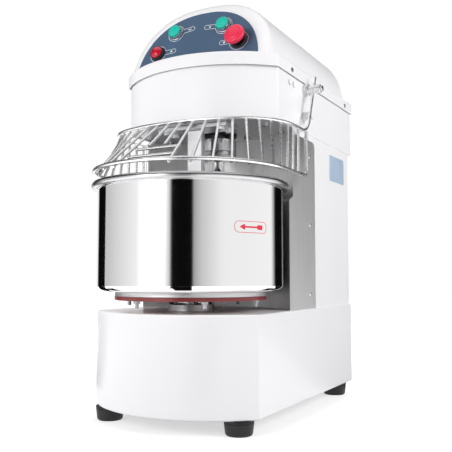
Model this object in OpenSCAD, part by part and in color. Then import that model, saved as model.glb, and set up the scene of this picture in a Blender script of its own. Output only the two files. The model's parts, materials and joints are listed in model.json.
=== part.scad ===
// Floor standing spiral dough mixer with a 20 litre bowl.
// Millimetres, Z up, the front faces -Y, and the origin is on the floor under the middle.
// Most places are given as a distance u behind the bowl's axis (towards +Y).

/* [Bowl] */
// Outside radius of the bowl's straight wall
bowl_r = 180; // [176:0.5:181]
// Height of the bowl's underside above the floor
bowl_bottom = 245; // [244:0.5:250]
// Height of the middle of the rolled rim
bowl_rim_z = 445; // [435:1:448]
// Radius of the rounded corner between wall and bottom
bowl_corner_r = 24; // [18:1:30]
// Thickness of the rolled rim
rim_d = 13; // [10:0.5:13]
// Wall thickness of the bowl
bowl_t = 1.5; // [1:0.1:2]

/* [Base] */
// Width of the base
base_w = 352; // [348:1:360]
// Front corners of the base, behind the bowl's axis
base_corner_u = -65; // [-70:1:-60]
// Back of the base
base_back_u = 452; // [450:1:460]
// How far the bowed front stands out from its corners
base_sag = 74; // [72:1:80]
// Underside of the base, which is the height of the feet
base_bottom = 27; // [24:1:32]
// Top of the base
base_top = 207; // [206:0.5:208]

/* [Column] */
// Width of the column
column_w = 341; // [338:1:342]
// Back of the column
column_back_u = 452; // [450:1:460]
// Radius of the hollow behind the bowl, below its rim
recess_low_r = 191.5; // [190:0.5:195]
// Radius of the hollow above the rim
recess_high_r = 200.5; // [198:0.5:203]
// Height of the step between the two radii
recess_step_z = 422; // [410:1:425]
// Back edge of the steel cover's side flanges
cover_flange_u = 225; // [210:1:240]
// Top of the side flanges
cover_flange_top = 557; // [540:1:560]

/* [Head] */
// Width of the head
head_w = 342; // [341:1:344]
// Front corners of the head
head_corner_u = 34; // [32:1:36]
// Back of the head
head_back_u = 475; // [474:1:476]
// Underside of the head
head_bottom = 569; // [567:1:570]
// Width of the top cover's lip
lip_w = 350; // [349:1:352]
// Front corners of the lip
lip_corner_u = 30; // [28:1:31]
// Back of the lip
lip_back_u = 478; // [477:1:480]
// How far the bowed front of head and lip stands out
lip_sag = 77; // [75:1:79]
// Underside of the lip
lip_bottom = 672; // [670:1:674]
// Top of the lip
lip_top = 698; // [697:1:700]
// Half width of the domed cover, and its rise above its axis
dome_r = 162; // [158:0.5:164]
// Height of the dome's axis
dome_axis_z = 671; // [669:1:674]
// Squareness of the dome's arch: 2 is round
dome_power = 2.44; // [2:0.02:3]
// How much smaller the dome's arch is at the back
dome_taper = 1.5; // [0:0.5:5]
// Back of the dome
dome_back_u = 466; // [462:1:470]
// Radius of the dome's back edge
dome_back_r = 12; // [8:1:20]
// Radius of the dome's front edge
dome_edge_r = 20; // [15:0.5:20]

/* [Control panel] */
// Lean of the panel back from upright, in degrees
panel_tilt = 17; // [15:0.1:19]
// Place of the panel's face at the top of the lip
panel_u = 13.5; // [12:0.5:15]
// Half width of the panel, and its rise above its axis
panel_r = 140.5; // [136:0.5:140.5]
// Radius of the two push button caps
cap_r = 13.2; // [12.5:0.1:13.4]
// Travel of the push buttons
button_travel = 4; // [2:0.5:5]
// Radius of the stop mushroom
mushroom_r = 20.5; // [18:0.5:21]
// Travel of the stop mushroom
mushroom_travel = 5; // [3:0.5:6]

/* [Guard] */
// Half width of the guard and radius of its lower ring, to the middle of the wire
guard_r = 190.5; // [189:0.5:191]
// Front of the upper ring
guard_top_u = -68; // [-72:1:-65]
// Radius of the upper ring's bowed front
guard_bow_r = 354; // [330:2:380]
// Radius of the upper ring's corners
guard_corner_r = 107; // [95:1:115]
// Height of the upper ring
guard_top_z = 563; // [561:1:564]
// Centre of the lower ring
guard_low_u = 5; // [3:1:8]
// Height of the lower ring
guard_low_z = 473; // [470:1:480]
// Guard hinge, behind the bowl's axis
pivot_u = 172; // [170:1:174]
// Guard hinge height
pivot_z = 659; // [657:1:661]
// Lean of the guard arms, in degrees
arm_tilt = 20.7; // [18:0.1:23]
// Wire spaces on each half of the guard, counting half of the one in the middle
guard_spaces = 12.5; // [11.5:1:13.5]

/* [Hook] */
// Place of the hook spindle
hook_u = 110; // [108:1:112]
// Radius of the spiral, to the middle of the bar
hook_r = 52; // [48:1:53]
// Thickness of the spiral bar
hook_bar_d = 20; // [16:1:20]
// Turns of the spiral
hook_turns = 1.6; // [1.25:0.05:2]
// Place of the breaker bar
breaker_u = 18; // [14:1:20]
// Width of the breaker bar
breaker_w = 33; // [26:1:36]

/* [Drive] */
// Pitch radius of the motor pulley
motor_pulley_r = 30; // [28:1:31]
// Pitch radius of the large countershaft pulley
counter_big_r = 90; // [86:1:92]
// Pitch radius of the countershaft pulley that drives the hook
counter_hook_r = 36; // [34:1:38]
// Pitch radius of the hook pulley
hook_pulley_r = 78; // [74:1:80]
// Pitch radius of the two small pulleys of the bowl drive
bowl_step_r = 22; // [21:1:24]
// Pitch radius of the jackshaft's large pulley
jack_big_r = 77; // [74:1:78]
// Pitch radius of the bowl pulley
bowl_pulley_r = 132; // [126:1:132]

/* [Hidden] */
$fn = 96;
e = 1;                               // overshoot of a cut past the face that it opens
paint = "#f1f1f2";
steel = "#b8bbbf";
bright = "#d6d8da";
dark = "#2b2d30";
iron = "#6d7278";
red = "#b3323a";
sheet = 2;                           // painted sheet metal
deck_t = 3;                          // top of the base
cover_t = 1.5;                       // stainless cover
fit = 0.2;                           // gap round bolts and seats
run = 0.05;                          // running gap of a shaft in its bearing
apart = 0.5;                         // gap between bodies that move past each other
bolt_r = 4;                          // hexagon bolts
screw_r = 2;                         // sheet metal screws

// Frame: the rim is the foremost point and the lip the rearmost
rim_out_r = bowl_r + rim_d - 1;
rim_mid_r = rim_out_r - rim_d / 2;
bowl_y = (rim_out_r - lip_back_u) / 2;

// Base
flange_in = 45;
plate_z = base_bottom + sheet;
plate_t = 3;
plate_top = plate_z + plate_t;
foot_top_r = 27;
foot_low_r = 23;
foot_bolt_r = 4;
foot_places = [[-139, -68], [139, -68], [-148, 403], [148, 403]];
slot_w = 200;
slot_u = 215;
slot_len = 215;
gland_x = -110;
gland_z = 75;
gland_r = 10;

// Column
column_front_u = 100;
cover_hw = column_w / 2 + 1.2;
cover_screw_u = 195;
cover_screw_z = [236, 380, 523];
service_w = 220;
service_z = 250;
service_h = 270;
rear_margin = 14;
vent_count = 9;

// Head
head_sag = lip_sag - 1;
ledge_t = 2;
head_top = lip_top - ledge_t;
head_flange = 10;
head_rear_opening_u = 445;
under_z = head_bottom + sheet;
under_t = 2.5;
under_back_u = 214;
lip_screw_u = [95, 421];
lip_screw_z = 682;
dome_steps = 40;
edge_steps = 4;
panel_axis_z = dome_axis_z + 1;
panel_power = 2.3;
plug_u = [92, 113];
plug_z = 657;
stop_r = 9;
stop_z = 603;

// Guard
arm_r = 3;
ring_r = 3.75;
bar_r = 2.25;
arm_bend_r = 40;
arm_above = 31;
end_u = 127;
end_bend_r = 12;
bend_low_z = guard_top_z + arm_bend_r * (1 - sin(arm_tilt));
arm_below = (pivot_z - bend_low_z) / cos(arm_tilt);
bend_u = pivot_u - arm_below * sin(arm_tilt) - arm_bend_r * cos(arm_tilt);
end_front_u = end_u - ring_r - bend_u;
end_top_z = guard_top_z + arm_bend_r - sqrt(pow(arm_bend_r + arm_r, 2) - pow(end_front_u, 2));
bar_past = 0.5;
hoop_steps = 48;
bend_steps = 7;
stud_r = 8.5;
stud_in_x = 146;
stud_out_x = 207;
bush_r = 12.5;
window_half = 1.5;
window_rods = [0.54, 0.72];
// Front, height, crowding of the bars, radius of the bow and of the corners
top_hoop = [guard_top_u, guard_top_z, 0, guard_bow_r, guard_corner_r];
low_hoop = [guard_low_u - guard_r, guard_low_z, 0.24, guard_r, guard_r];
stop_u = pivot_u - (pivot_z - stop_z) * tan(arm_tilt) + (stop_r + arm_r + apart) / cos(arm_tilt);

// Bowl support
foot_ring_z = 236;
carrier_r = 146;
carrier_z = 229;
hub_r = 44;
hub_top = 220;
hub_body_r = 33;
hub_low = 130;
spindle_r = 15;
spindle_low = 86;
bearing_r = 27.5;
bearing_h = 13;
carrier_bolt_r = 129;
carrier_hole_r = 72;
hub_screw_r = 38.5;

// Hook drive
coupling_r = 38;
coupling_z = 532;
coupling_top = 557;
hook_flange_z = 518;
hook_stem_r = 12.5;
hook_start_z = 492;
hook_low_z = 263;
hook_spindle_r = 17.5;
hook_bearing_r = 36;
hook_bearing_h = 17;
housing_r = 48;
housing_top = 650;
hook_bolt_r = 29;
housing_bolt_r = 64;
breaker_flange_t = 9;

// Shafts and belts
counter = [0, 238];
counter_r = 12.5;
jack = [-80, 150];
jack_r = 10;
motor_u = 372;
motor_r = 65;
motor_bolt_r = 72;
motor_low = 395;
motor_shaft_r = 9.5;
drive_z = 648;
drive_t = 8;
drive_front_u = 195;
groove_pitch = 16;
belt_h = 7;
groove_depth = 9;
belt_slope = tan(19);
belts = 2;
pulley_w = belts * groove_pitch;
level_hook = 662;
level_motor = 698;
level_jack = 54;
level_bowl = 92;

// Buttons: across the panel, then up it
start_at = [53.5, 78.5];
jog_at = [-58.5, 81];
lamp_at = [-95, 37.5];
stop_at = [93.5, 36];
button_places = [start_at, jog_at, lamp_at, stop_at];
bezel_r = 16.2;
bezel_h = 9;
barrel_r = 11;
stem_r = 6;
panel_t = 1.5;
barrel_low = -16;
block_h = 34;

// Places and shared shapes

module from_bowl() {
  translate([0, bowl_y, 0]) children();
}

// Frame on the panel's face: x across, y up the slope, z out of it
module on_panel(at) {
  from_bowl() translate([0, panel_u, lip_top]) rotate([90 - panel_tilt, 0, 0])
    translate([at[0], at[1], 0]) children();
}

// Turns local z to the outward side: +X for side 1, -X for side -1
module on_side(side, u, z) {
  from_bowl() translate([0, u, z]) rotate([0, side * 90, 0]) children();
}

// Outline from above: straight sides and back, bowed front
module plan(w, corner, back, sag, inset) {
  r = (w * w / 4 + sag * sag) / (2 * sag);
  mid = corner - sag + r;
  hw = w / 2 - inset;
  flat = mid - sqrt(pow(r - inset, 2) - hw * hw);
  intersection() {
    translate([0, mid]) circle(r = r - inset);
    translate([-hw, mid - r]) square([2 * hw, flat - mid + r + 5]);
  }
  translate([-hw, flat]) square([2 * hw, back - inset - flat]);
}

module base_plan(inset) {
  plan(base_w, base_corner_u, base_back_u, base_sag, inset);
}

module head_plan(inset) {
  plan(head_w, head_corner_u, head_back_u, head_sag, inset);
}

module lip_plan(inset) {
  plan(lip_w, lip_corner_u, lip_back_u, lip_sag, inset);
}

module raised(low, high) {
  translate([0, 0, low]) linear_extrude(high - low) children();
}

module tube(r, bore, low, high) {
  translate([0, 0, low]) difference() {
    cylinder(r = r, h = high - low);
    translate([0, 0, -e]) cylinder(r = bore, h = high - low + 2 * e);
  }
}

// Straight wire between two points
module rod(a, b, r) {
  d = b - a;
  translate(a) rotate([0, acos(d[2] / norm(d)), atan2(d[1], d[0])]) cylinder(r = r, h = norm(d));
}

// Hexagon headed bolt hanging down: the head's top face is at z = 0, the shank goes up
module hex_bolt(r, head, shank) {
  translate([0, 0, -head]) cylinder(r = 1.75 * r, h = head, $fn = 6);
  translate([0, 0, -head / 2]) cylinder(r = r, h = shank + head / 2);
}

// Round headed screw with a cross slot, pointing down: the head sits on z = 0
module panel_screw(r, head_r, head_h, shank) {
  difference() {
    cylinder(r1 = head_r, r2 = 0.7 * head_r, h = head_h);
    for (a = [0, 90]) rotate(a) translate([-0.55 * head_r, -0.4, 0.45 * head_h])
      cube([1.1 * head_r, 0.8, head_h]);
  }
  translate([0, 0, -shank]) cylinder(r = r, h = shank + head_h / 4);
}

module ring_of(count, r, turn = 0) {
  for (i = [0 : count - 1]) rotate(turn + i * 360 / count) translate([r, 0, 0]) children();
}

// V belt pulley from its pitch radius; a wide one has a thin web between rim and hub
module v_pulley(pitch_r, bore) {
  out = pitch_r + 2.5;
  root = out - groove_depth;
  low_hw = 3.3;
  top_hw = low_hw + groove_depth * belt_slope;
  rim = root - 6;
  hub = bore + 10;
  web = 10;
  grooves = [for (i = [0 : belts - 1], p = [[out, -top_hw], [root, -low_hw], [root, low_hw], [out, top_hw]])
    [p[0], (i + 0.5) * groove_pitch + p[1]]];
  solid_side = [[bore, pulley_w], [bore, 0]];
  web_side = [[rim, pulley_w], [rim, (pulley_w + web) / 2], [hub, (pulley_w + web) / 2], [hub, pulley_w],
    [bore, pulley_w], [bore, 0], [hub, 0], [hub, (pulley_w - web) / 2], [rim, (pulley_w - web) / 2], [rim, 0]];
  side = rim > hub + 8 ? web_side : solid_side;
  rotate_extrude() polygon(concat([[out, 0]], grooves, [[out, pulley_w]], side));
}

// Skin of a tube whose rings of points follow each other; a loop closes on itself
function skin(rings, sides, loop) =
  [for (j = [0 : rings - (loop ? 1 : 2)], k = [0 : sides - 1])
    let (a = j * sides + k, b = j * sides + (k + 1) % sides, n = (j + 1) % rings * sides - j * sides)
    each [[a, b + n, b], [a, a + n, b + n]]];

module sweep(rings) {
  sides = len(rings[0]);
  first = [for (k = [0 : sides - 1]) k];
  last = [for (k = [sides - 1 : -1 : 0]) (len(rings) - 1) * sides + k];
  polyhedron([for (r = rings) each r], concat(skin(len(rings), sides, false), [first, last]), convexity = 6);
}

module sweep_loop(rings) {
  polyhedron([for (r = rings) each r], skin(len(rings), len(rings[0]), true), convexity = 6);
}

// Round section of radius r at each path point; outs gives a direction square to the path there
function round_rings(path, outs, r, sides) =
  [for (j = [0 : len(path) - 1])
    let (way = path[min(j + 1, len(path) - 1)] - path[max(j - 1, 0)],
      n = outs[j],
      b = cross(way, n) / norm(cross(way, n)))
    [for (k = [0 : sides - 1]) path[j] + r * (cos(k * 360 / sides) * n + sin(k * 360 / sides) * b)]];

// Wedge section of a belt whose back is at p, with the pulley inwards of out
function belt_ring(p, out) =
  let (low = 3.6, top = low + belt_h * belt_slope, inner = p - belt_h * out)
  [[p[0], p[1], -top], [p[0], p[1], top], [inner[0], inner[1], low], [inner[0], inner[1], -low]];

// One belt round two pulleys, in steps of a few degrees
module v_belt(a, ra, b, rb) {
  d = b - a;
  aim = atan2(d[1], d[0]);
  lean = asin((ra - rb) / norm(d));
  steps_a = 26;
  steps_b = 14;
  turns_a = [for (k = [0 : steps_a]) [a, ra + 3, aim + 90 - lean + k / steps_a * (180 + 2 * lean)]];
  turns_b = [for (k = [0 : steps_b]) [b, rb + 3, aim - 90 + lean + k / steps_b * (180 - 2 * lean)]];
  sweep_loop([for (q = concat(turns_a, turns_b))
    let (out = [cos(q[2]), sin(q[2])]) belt_ring(q[0] + q[1] * out, out)]);
}

module belt_pair(level, a, ra, b, rb) {
  for (i = [0 : belts - 1]) translate([0, 0, level + (i + 0.5) * groove_pitch]) v_belt(a, ra, b, rb);
}

// Base

module at_feet() {
  for (p = foot_places) translate([p[0], p[1], 0]) children();
}

module base_housing() {
  color(paint) from_bowl() difference() {
    raised(base_bottom, base_top) base_plan(0);
    raised(base_bottom + sheet, base_top - deck_t) base_plan(sheet);
    raised(base_bottom - e, base_bottom + sheet + e) base_plan(flange_in);
    translate([0, 0, base_top - deck_t - e]) cylinder(r = hub_body_r + fit, h = deck_t + 2 * e);
    translate([-slot_w / 2, slot_u, base_top - deck_t - e]) cube([slot_w, slot_len, deck_t + 2 * e]);
    at_feet() translate([0, 0, base_bottom - e]) cylinder(r = foot_bolt_r + fit, h = sheet + 2 * e);
    translate([gland_x, base_back_u - sheet - e, gland_z]) rotate([-90, 0, 0])
      cylinder(r = gland_r + fit, h = sheet + 2 * e);
  }
}

module base_plate() {
  color(iron) from_bowl() difference() {
    raised(plate_z, plate_top) base_plan(sheet + 0.3);
    at_feet() translate([0, 0, plate_z - e]) cylinder(r = foot_bolt_r + fit, h = plate_t + 2 * e);
  }
}

module feet() {
  color(dark) from_bowl() at_feet() difference() {
    union() {
      cylinder(r1 = foot_low_r, r2 = foot_low_r + 1.5, h = 1.5);
      translate([0, 0, 1.5]) cylinder(r1 = foot_low_r + 1.5, r2 = foot_top_r, h = base_bottom - 1.5);
    }
    translate([0, 0, base_bottom / 2]) cylinder(r = foot_bolt_r + fit, h = base_bottom);
    translate([0, 0, -e]) cylinder(r = 9, h = 5 + e);
  }
}

module foot_bolts() {
  color(steel) from_bowl() at_feet() translate([0, 0, plate_top]) mirror([0, 0, 1])
    hex_bolt(foot_bolt_r, 5, plate_top - base_bottom / 2 - e);
}

module cable_gland() {
  color(dark) from_bowl() translate([gland_x, base_back_u, gland_z]) rotate([-90, 0, 0]) difference() {
    union() {
      translate([0, 0, -14]) cylinder(r = gland_r, h = 15);
      translate([0, 0, -sheet - 5]) cylinder(r = 15, h = 5, $fn = 6);
      cylinder(r = 15, h = 6, $fn = 6);
      translate([0, 0, 6]) cylinder(r1 = 13, r2 = 9, h = 14);
    }
    translate([0, 0, -20]) cylinder(r = 5.5, h = 50);
  }
}

// Column

module side_screws() {
  for (side = [-1, 1], z = cover_screw_z) on_side(side, cover_screw_u, z) children();
}

module rear_screw_places() {
  w = service_w / 2 + rear_margin / 2;
  for (x = [-w, w], k = [0, 0.5, 1])
    translate([x, column_back_u, service_z + k * service_h]) rotate([-90, 0, 0]) children();
}

module column_housing() {
  depth = column_back_u - column_front_u;
  high = head_bottom - base_top;
  color(paint) difference() {
    from_bowl() difference() {
      translate([-column_w / 2, column_front_u, base_top]) cube([column_w, depth, high]);
      translate([-column_w / 2 + sheet, column_front_u - e, base_top - e])
        cube([column_w - 2 * sheet, depth - sheet + e, high + 2 * e]);
      translate([0, 0, base_top - e]) cylinder(r = recess_high_r + cover_t + 1, h = high + 2 * e);
      translate([-service_w / 2, column_back_u - sheet - e, service_z])
        cube([service_w, sheet + 2 * e, service_h]);
      rear_screw_places() translate([0, 0, -sheet - e]) cylinder(r = screw_r + fit, h = sheet + 2 * e);
    }
    side_screws() translate([0, 0, column_w / 2 - sheet - e]) cylinder(r = screw_r + fit, h = sheet + 2 * e);
  }
}

// Hollow that the bowl stands in, grown by t
module recess(t) {
  high = head_bottom + e;
  rotate_extrude() polygon([[0, base_top - e], [recess_low_r + t, base_top - e],
    [recess_low_r + t, recess_step_z], [recess_high_r + t, recess_step_z + 9],
    [recess_high_r + t, high], [0, high]]);
}

module column_front_cover() {
  c = 12;
  low_u = 70;
  color(steel) difference() {
    from_bowl() difference() {
      union() {
        intersection() {
          recess(cover_t);
          translate([-cover_hw, low_u, base_top]) cube([2 * cover_hw, 300, head_bottom - base_top - fit]);
        }
        for (side = [-1, 1]) translate([side > 0 ? column_w / 2 : -cover_hw, 0, 0]) rotate([90, 0, 90])
          linear_extrude(cover_hw - column_w / 2) {
            translate([low_u, base_top]) square([cover_flange_u - low_u, cover_flange_top - c - base_top]);
            translate([low_u, base_top]) square([cover_flange_u - c - low_u, cover_flange_top - base_top]);
            translate([cover_flange_u - c, cover_flange_top - c]) circle(r = c);
          }
      }
      recess(0);
    }
    side_screws() translate([0, 0, column_w / 2 - e]) cylinder(r = screw_r + fit, h = 4);
  }
}

module rear_cover() {
  w = service_w + 2 * rear_margin;
  h = service_h + 2 * rear_margin;
  vent_w = 140;
  color(paint) from_bowl() difference() {
    translate([-w / 2, column_back_u, service_z - rear_margin]) cube([w, cover_t, h]);
    for (i = [0 : vent_count - 1]) translate([-vent_w / 2, column_back_u - e, service_z + 40 + i * 12])
      cube([vent_w, cover_t + 2 * e, 4]);
    rear_screw_places() translate([0, 0, -e]) cylinder(r = screw_r + fit, h = 4);
  }
}

// Screws of the front cover's flanges and of the rear cover
module panel_screws() {
  color(bright) {
    side_screws() translate([0, 0, cover_hw]) panel_screw(screw_r, 4.5, 2, 6);
    from_bowl() rear_screw_places() translate([0, 0, cover_t]) panel_screw(screw_r, 4.5, 2, 6);
  }
}

// Head

module lip_screw_places() {
  for (side = [-1, 1], u = lip_screw_u) on_side(side, u, lip_screw_z) children();
}

module plug_places() {
  for (side = [-1, 1], u = plug_u) on_side(side, u, plug_z) children();
}

module wall_hole(r) {
  translate([0, 0, head_w / 2 - sheet - e]) cylinder(r = r, h = sheet + 2 * e);
}

module head_housing() {
  color(paint) difference() {
    from_bowl() difference() {
      raised(head_bottom, head_top) head_plan(0);
      raised(head_bottom + sheet, head_top + e) head_plan(sheet);
      raised(head_bottom - e, head_bottom + sheet + e) intersection() {
        head_plan(head_flange);
        translate([-lip_w / 2, -lip_w / 2]) square([lip_w, head_rear_opening_u + lip_w / 2]);
      }
    }
    lip_screw_places() wall_hole(2 + fit);
    plug_places() wall_hole(4.5);
    for (side = [-1, 1]) {
      on_side(side, pivot_u, pivot_z) wall_hole(bush_r - 3 + fit);
      on_side(side, stop_u, stop_z) wall_hole(4 + fit);
    }
  }
}

module hook_housing_bolts() {
  translate([0, hook_u, 0]) ring_of(4, housing_bolt_r, 45) children();
}

module plate_bolt_places() {
  for (x = [-133, 133], u = [57, 135]) translate([x, u, 0]) children();
  translate([0, -18, 0]) children();
}

module breaker_bolt_places() {
  for (x = [-62, 62], u = [-10, 22]) translate([x, breaker_u + u, 0]) children();
}

module head_under_plate() {
  color(steel) from_bowl() difference() {
    raised(under_z, under_z + under_t) intersection() {
      head_plan(sheet + 0.3);
      translate([-lip_w / 2, -lip_w / 2]) square([lip_w, under_back_u + lip_w / 2]);
    }
    translate([0, hook_u, under_z - e]) cylinder(r = 24, h = under_t + 2 * e);
    hook_housing_bolts() translate([0, 0, under_z - e]) cylinder(r = bolt_r + fit, h = under_t + 2 * e);
    plate_bolt_places() translate([0, 0, under_z - e]) cylinder(r = bolt_r + fit, h = under_t + 2 * e);
    breaker_bolt_places() translate([0, 0, under_z - e]) cylinder(r = bolt_r + fit, h = under_t + 2 * e);
  }
}

module under_plate_bolts() {
  color(bright) from_bowl() {
    hook_housing_bolts() translate([0, 0, under_z]) hex_bolt(bolt_r, 6, 15);
    plate_bolt_places() translate([0, 0, under_z]) hex_bolt(bolt_r, 6, 8);
  }
}

// Arch of the dome or the panel from its foot at height low: across, then up
function arch(r, power, axis, low) =
  let (first = asin(pow((low - axis) / r, power / 2)), span = 180 - 2 * first)
  [for (k = [0 : dome_steps]) let (a = first + k / dome_steps * span)
    [sign(cos(a)) * r * pow(abs(cos(a)), 2 / power), axis + r * pow(sin(a), 2 / power)]];

// Arch at u that leans back by the slope, measured at the top of the lip
function dome_ring(r, low, u, slope) =
  [for (p = arch(r, dome_power, dome_axis_z, low)) [-p[0], u + slope * (p[1] - lip_top), p[1]]];

// Domed part of the cover, shrunk by t: rounded edges in front and behind, and a leaning front face
module dome(t) {
  r = dome_r - t;
  low = lip_top - (t > 0 ? 6 : ledge_t);
  slope = tan(panel_tilt);
  face = panel_u + t / cos(panel_tilt);
  edge = dome_edge_r - t;
  rear = dome_back_r - t;
  back = dome_back_u - t;
  rows = [for (k = [0 : edge_steps]) k * 90 / edge_steps];
  front = [for (a = rows) dome_ring(r - edge * (1 - sin(a)), low, face + edge * (1 - cos(a)), slope)];
  barrel = [dome_ring(r, low, face + edge + slope * r, 0)];
  behind = [for (a = rows) dome_ring(r - dome_taper - rear * (1 - cos(a)), low, back - rear * (1 - sin(a)), 0)];
  from_bowl() sweep(concat(front, barrel, behind));
}

module top_cover() {
  color(paint) difference() {
    union() {
      from_bowl() raised(lip_bottom, lip_top) lip_plan(0);
      dome(0);
    }
    from_bowl() raised(lip_bottom - e, head_top) lip_plan(cover_t);
    dome(sheet);
    lip_screw_places() translate([0, 0, lip_w / 2 - 3]) cylinder(r = screw_r + fit, h = 6);
    for (at = button_places) on_panel(at) translate([0, 0, -10]) cylinder(r = barrel_r + fit, h = 20);
  }
}

module lip_screws() {
  color(bright) lip_screw_places() translate([0, 0, lip_w / 2]) panel_screw(screw_r, 5, 2.4, 8);
}

module plug_caps() {
  color(paint) plug_places() translate([0, 0, head_w / 2]) {
    cylinder(r1 = 6, r2 = 5, h = 2);
    translate([0, 0, -5]) cylinder(r = 4.5, h = 6);
  }
}

// Control panel

module control_panel() {
  color("#55697d") difference() {
    intersection() {
      on_panel([0, 0]) translate([-lip_w / 2, -lip_w / 2, 0]) cube([lip_w, lip_w, panel_t]);
      from_bowl() translate([0, 150, 0]) rotate([90, 0, 0]) linear_extrude(200)
        polygon(arch(panel_r, panel_power, panel_axis_z, lip_top + 1));
    }
    for (at = button_places) on_panel(at) translate([0, 0, -e]) cylinder(r = barrel_r + fit, h = 20);
  }
}

// Fixed ring and threaded barrel of one button
module bezel(out_r, high, bore) {
  difference() {
    union() {
      translate([0, 0, panel_t]) cylinder(r = out_r, h = 2);
      translate([0, 0, panel_t]) cylinder(r1 = out_r - 0.6, r2 = out_r - 1.4, h = high);
      translate([0, 0, barrel_low]) cylinder(r = barrel_r, h = panel_t - barrel_low + e);
      translate([0, 0, -sheet - 4]) cylinder(r = 15, h = 4, $fn = 6);
    }
    translate([0, 0, panel_t + 2]) cylinder(r = bore, h = high + e);
    translate([0, 0, barrel_low - e]) cylinder(r = stem_r + apart, h = 40);
  }
}

module button_bezels() {
  color(bright) {
    for (at = [start_at, jog_at, lamp_at]) on_panel(at) bezel(bezel_r, bezel_h, cap_r + apart);
    on_panel(stop_at) bezel(bezel_r + 2, 4, 12);
  }
}

module contact_blocks() {
  color(dark) for (at = button_places) on_panel(at) translate([0, 0, barrel_low - block_h])
    difference() {
      translate([-11, -14, 0]) cube([22, 28, block_h]);
      translate([0, 0, block_h - 10]) cylinder(r = stem_r + apart, h = 20);
      for (s = [-1, 1]) translate([s * 7, 0, -e]) cylinder(r = 2, h = 6);
    }
}

// Cap with its plunger, which slides through the barrel
module push_cap() {
  rise = panel_t + bezel_h + 2.5;
  skirt = panel_t + 2 + button_travel + apart;
  rotate_extrude() polygon([[0, skirt], [cap_r, skirt], [cap_r, rise - 1], [cap_r - 1, rise], [0, rise]]);
  translate([0, 0, barrel_low + 2]) cylinder(r = stem_r, h = skirt - barrel_low);
}

module start_button() {
  color("#18a583") on_panel(start_at) push_cap();
}

module jog_button() {
  color("#18a583") on_panel(jog_at) push_cap();
}

module power_lamp() {
  seat = panel_t + 2;
  high = panel_t + bezel_h;
  color("#d8163a") on_panel(lamp_at) {
    translate([0, 0, barrel_low]) cylinder(r = stem_r, h = seat - barrel_low + e);
    rotate_extrude() {
      translate([0, seat]) square([cap_r, high - seat]);
      intersection() {
        translate([0, high - 10]) circle(r = sqrt(100 + cap_r * cap_r));
        translate([0, high - e]) square([cap_r, 10]);
      }
    }
  }
}

module stop_plunger() {
  low = panel_t + 4 + mushroom_travel + 1;
  boss_h = 7.5;
  color(dark) on_panel(stop_at) {
    translate([0, 0, barrel_low + 2]) cylinder(r = stem_r, h = low - barrel_low);
    translate([0, 0, panel_t + 2 + mushroom_travel + apart])
      cylinder(r = 11, h = low - panel_t - mushroom_travel);
    translate([0, 0, low]) cylinder(r = stem_r + 3, h = boss_h);
  }
}

module stop_mushroom() {
  low = panel_t + 4 + mushroom_travel + 4;
  color("#e02a45") on_panel(stop_at) difference() {
    rotate_extrude() polygon([[0, low], [13, low], [mushroom_r - 1.5, low + 2.5], [mushroom_r, low + 5],
      [mushroom_r, low + 10], [mushroom_r - 2, low + 13.5], [mushroom_r - 5, low + 14.5], [0, low + 15]]);
    translate([0, 0, low - e]) cylinder(r = stem_r + 3 + run, h = 5 + e);
  }
}

// Guard

// Angle from the front at which a hoop's bow meets its corner, the corner's middle and the lengths so far
function hoop_turn(h) = h[3] > h[4] ? asin((guard_r - h[4]) / (h[3] - h[4])) : 0;
function hoop_mid(h) = h[0] + h[3] - (h[3] - h[4]) * cos(hoop_turn(h));
function bow_length(h) = h[3] * hoop_turn(h) * PI / 180;
function round_length(h) = bow_length(h) + h[4] * (90 - hoop_turn(h)) * PI / 180;
function hoop_at(a, h) =
  abs(a) < hoop_turn(h) ? [h[3] * sin(a), h[0] + h[3] - h[3] * cos(a), h[1]]
    : [sign(a) * (guard_r - h[4]) + h[4] * sin(a), hoop_mid(h) - h[4] * cos(a), h[1]];

// Place of wire space i along a hoop's half: a length from the front, an angle, a direction and a point
function hoop_s(i, h) =
  let (f = abs(i) / guard_spaces) (f + h[2] * f * (1 - f)) * (round_length(h) + end_u - hoop_mid(h));
function hoop_angle(i, h) =
  let (s = hoop_s(i, h), bow = bow_length(h))
  sign(i) * (s < bow ? s / h[3] * 180 / PI : min(90, hoop_turn(h) + (s - bow) / h[4] * 180 / PI));
function hoop_out(i, h) = let (a = hoop_angle(i, h)) [sin(a), -cos(a), 0];
function hoop_point(i, h) = hoop_at(hoop_angle(i, h), h) + [0, max(0, hoop_s(i, h) - round_length(h)), 0];
function unit(v) = v / norm(v);

// Bars lie against the inside of both hoops
function bar_way(i) = unit(hoop_point(i, low_hoop) - hoop_point(i, top_hoop));
function bar_in(i, hoop) =
  let (out = hoop_out(i, hoop), way = bar_way(i)) -unit(out - (out * way) * way);
function bar_top(i) =
  hoop_point(i, top_hoop) + (arm_r + bar_r) * bar_in(i, top_hoop) - bar_past * bar_way(i);
function bar_low(i) =
  hoop_point(i, low_hoop) + (ring_r + bar_r) * bar_in(i, low_hoop) + bar_past * bar_way(i);
function window_end(i, t) = (1 - t) * bar_top(i) + t * bar_low(i) + 2 * bar_r * bar_in(i, low_hoop);
function window_point(i, t) =
  let (k = (i + window_half) / (2 * window_half))
  (1 - k) * window_end(-window_half, t) + k * window_end(window_half, t);
function bar_end(i) =
  abs(i) >= window_half ? bar_low(i)
    : window_point(i, window_rods[0]) - 2 * bar_r * bar_in(i, low_hoop) + bar_past * bar_way(i);

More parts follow.
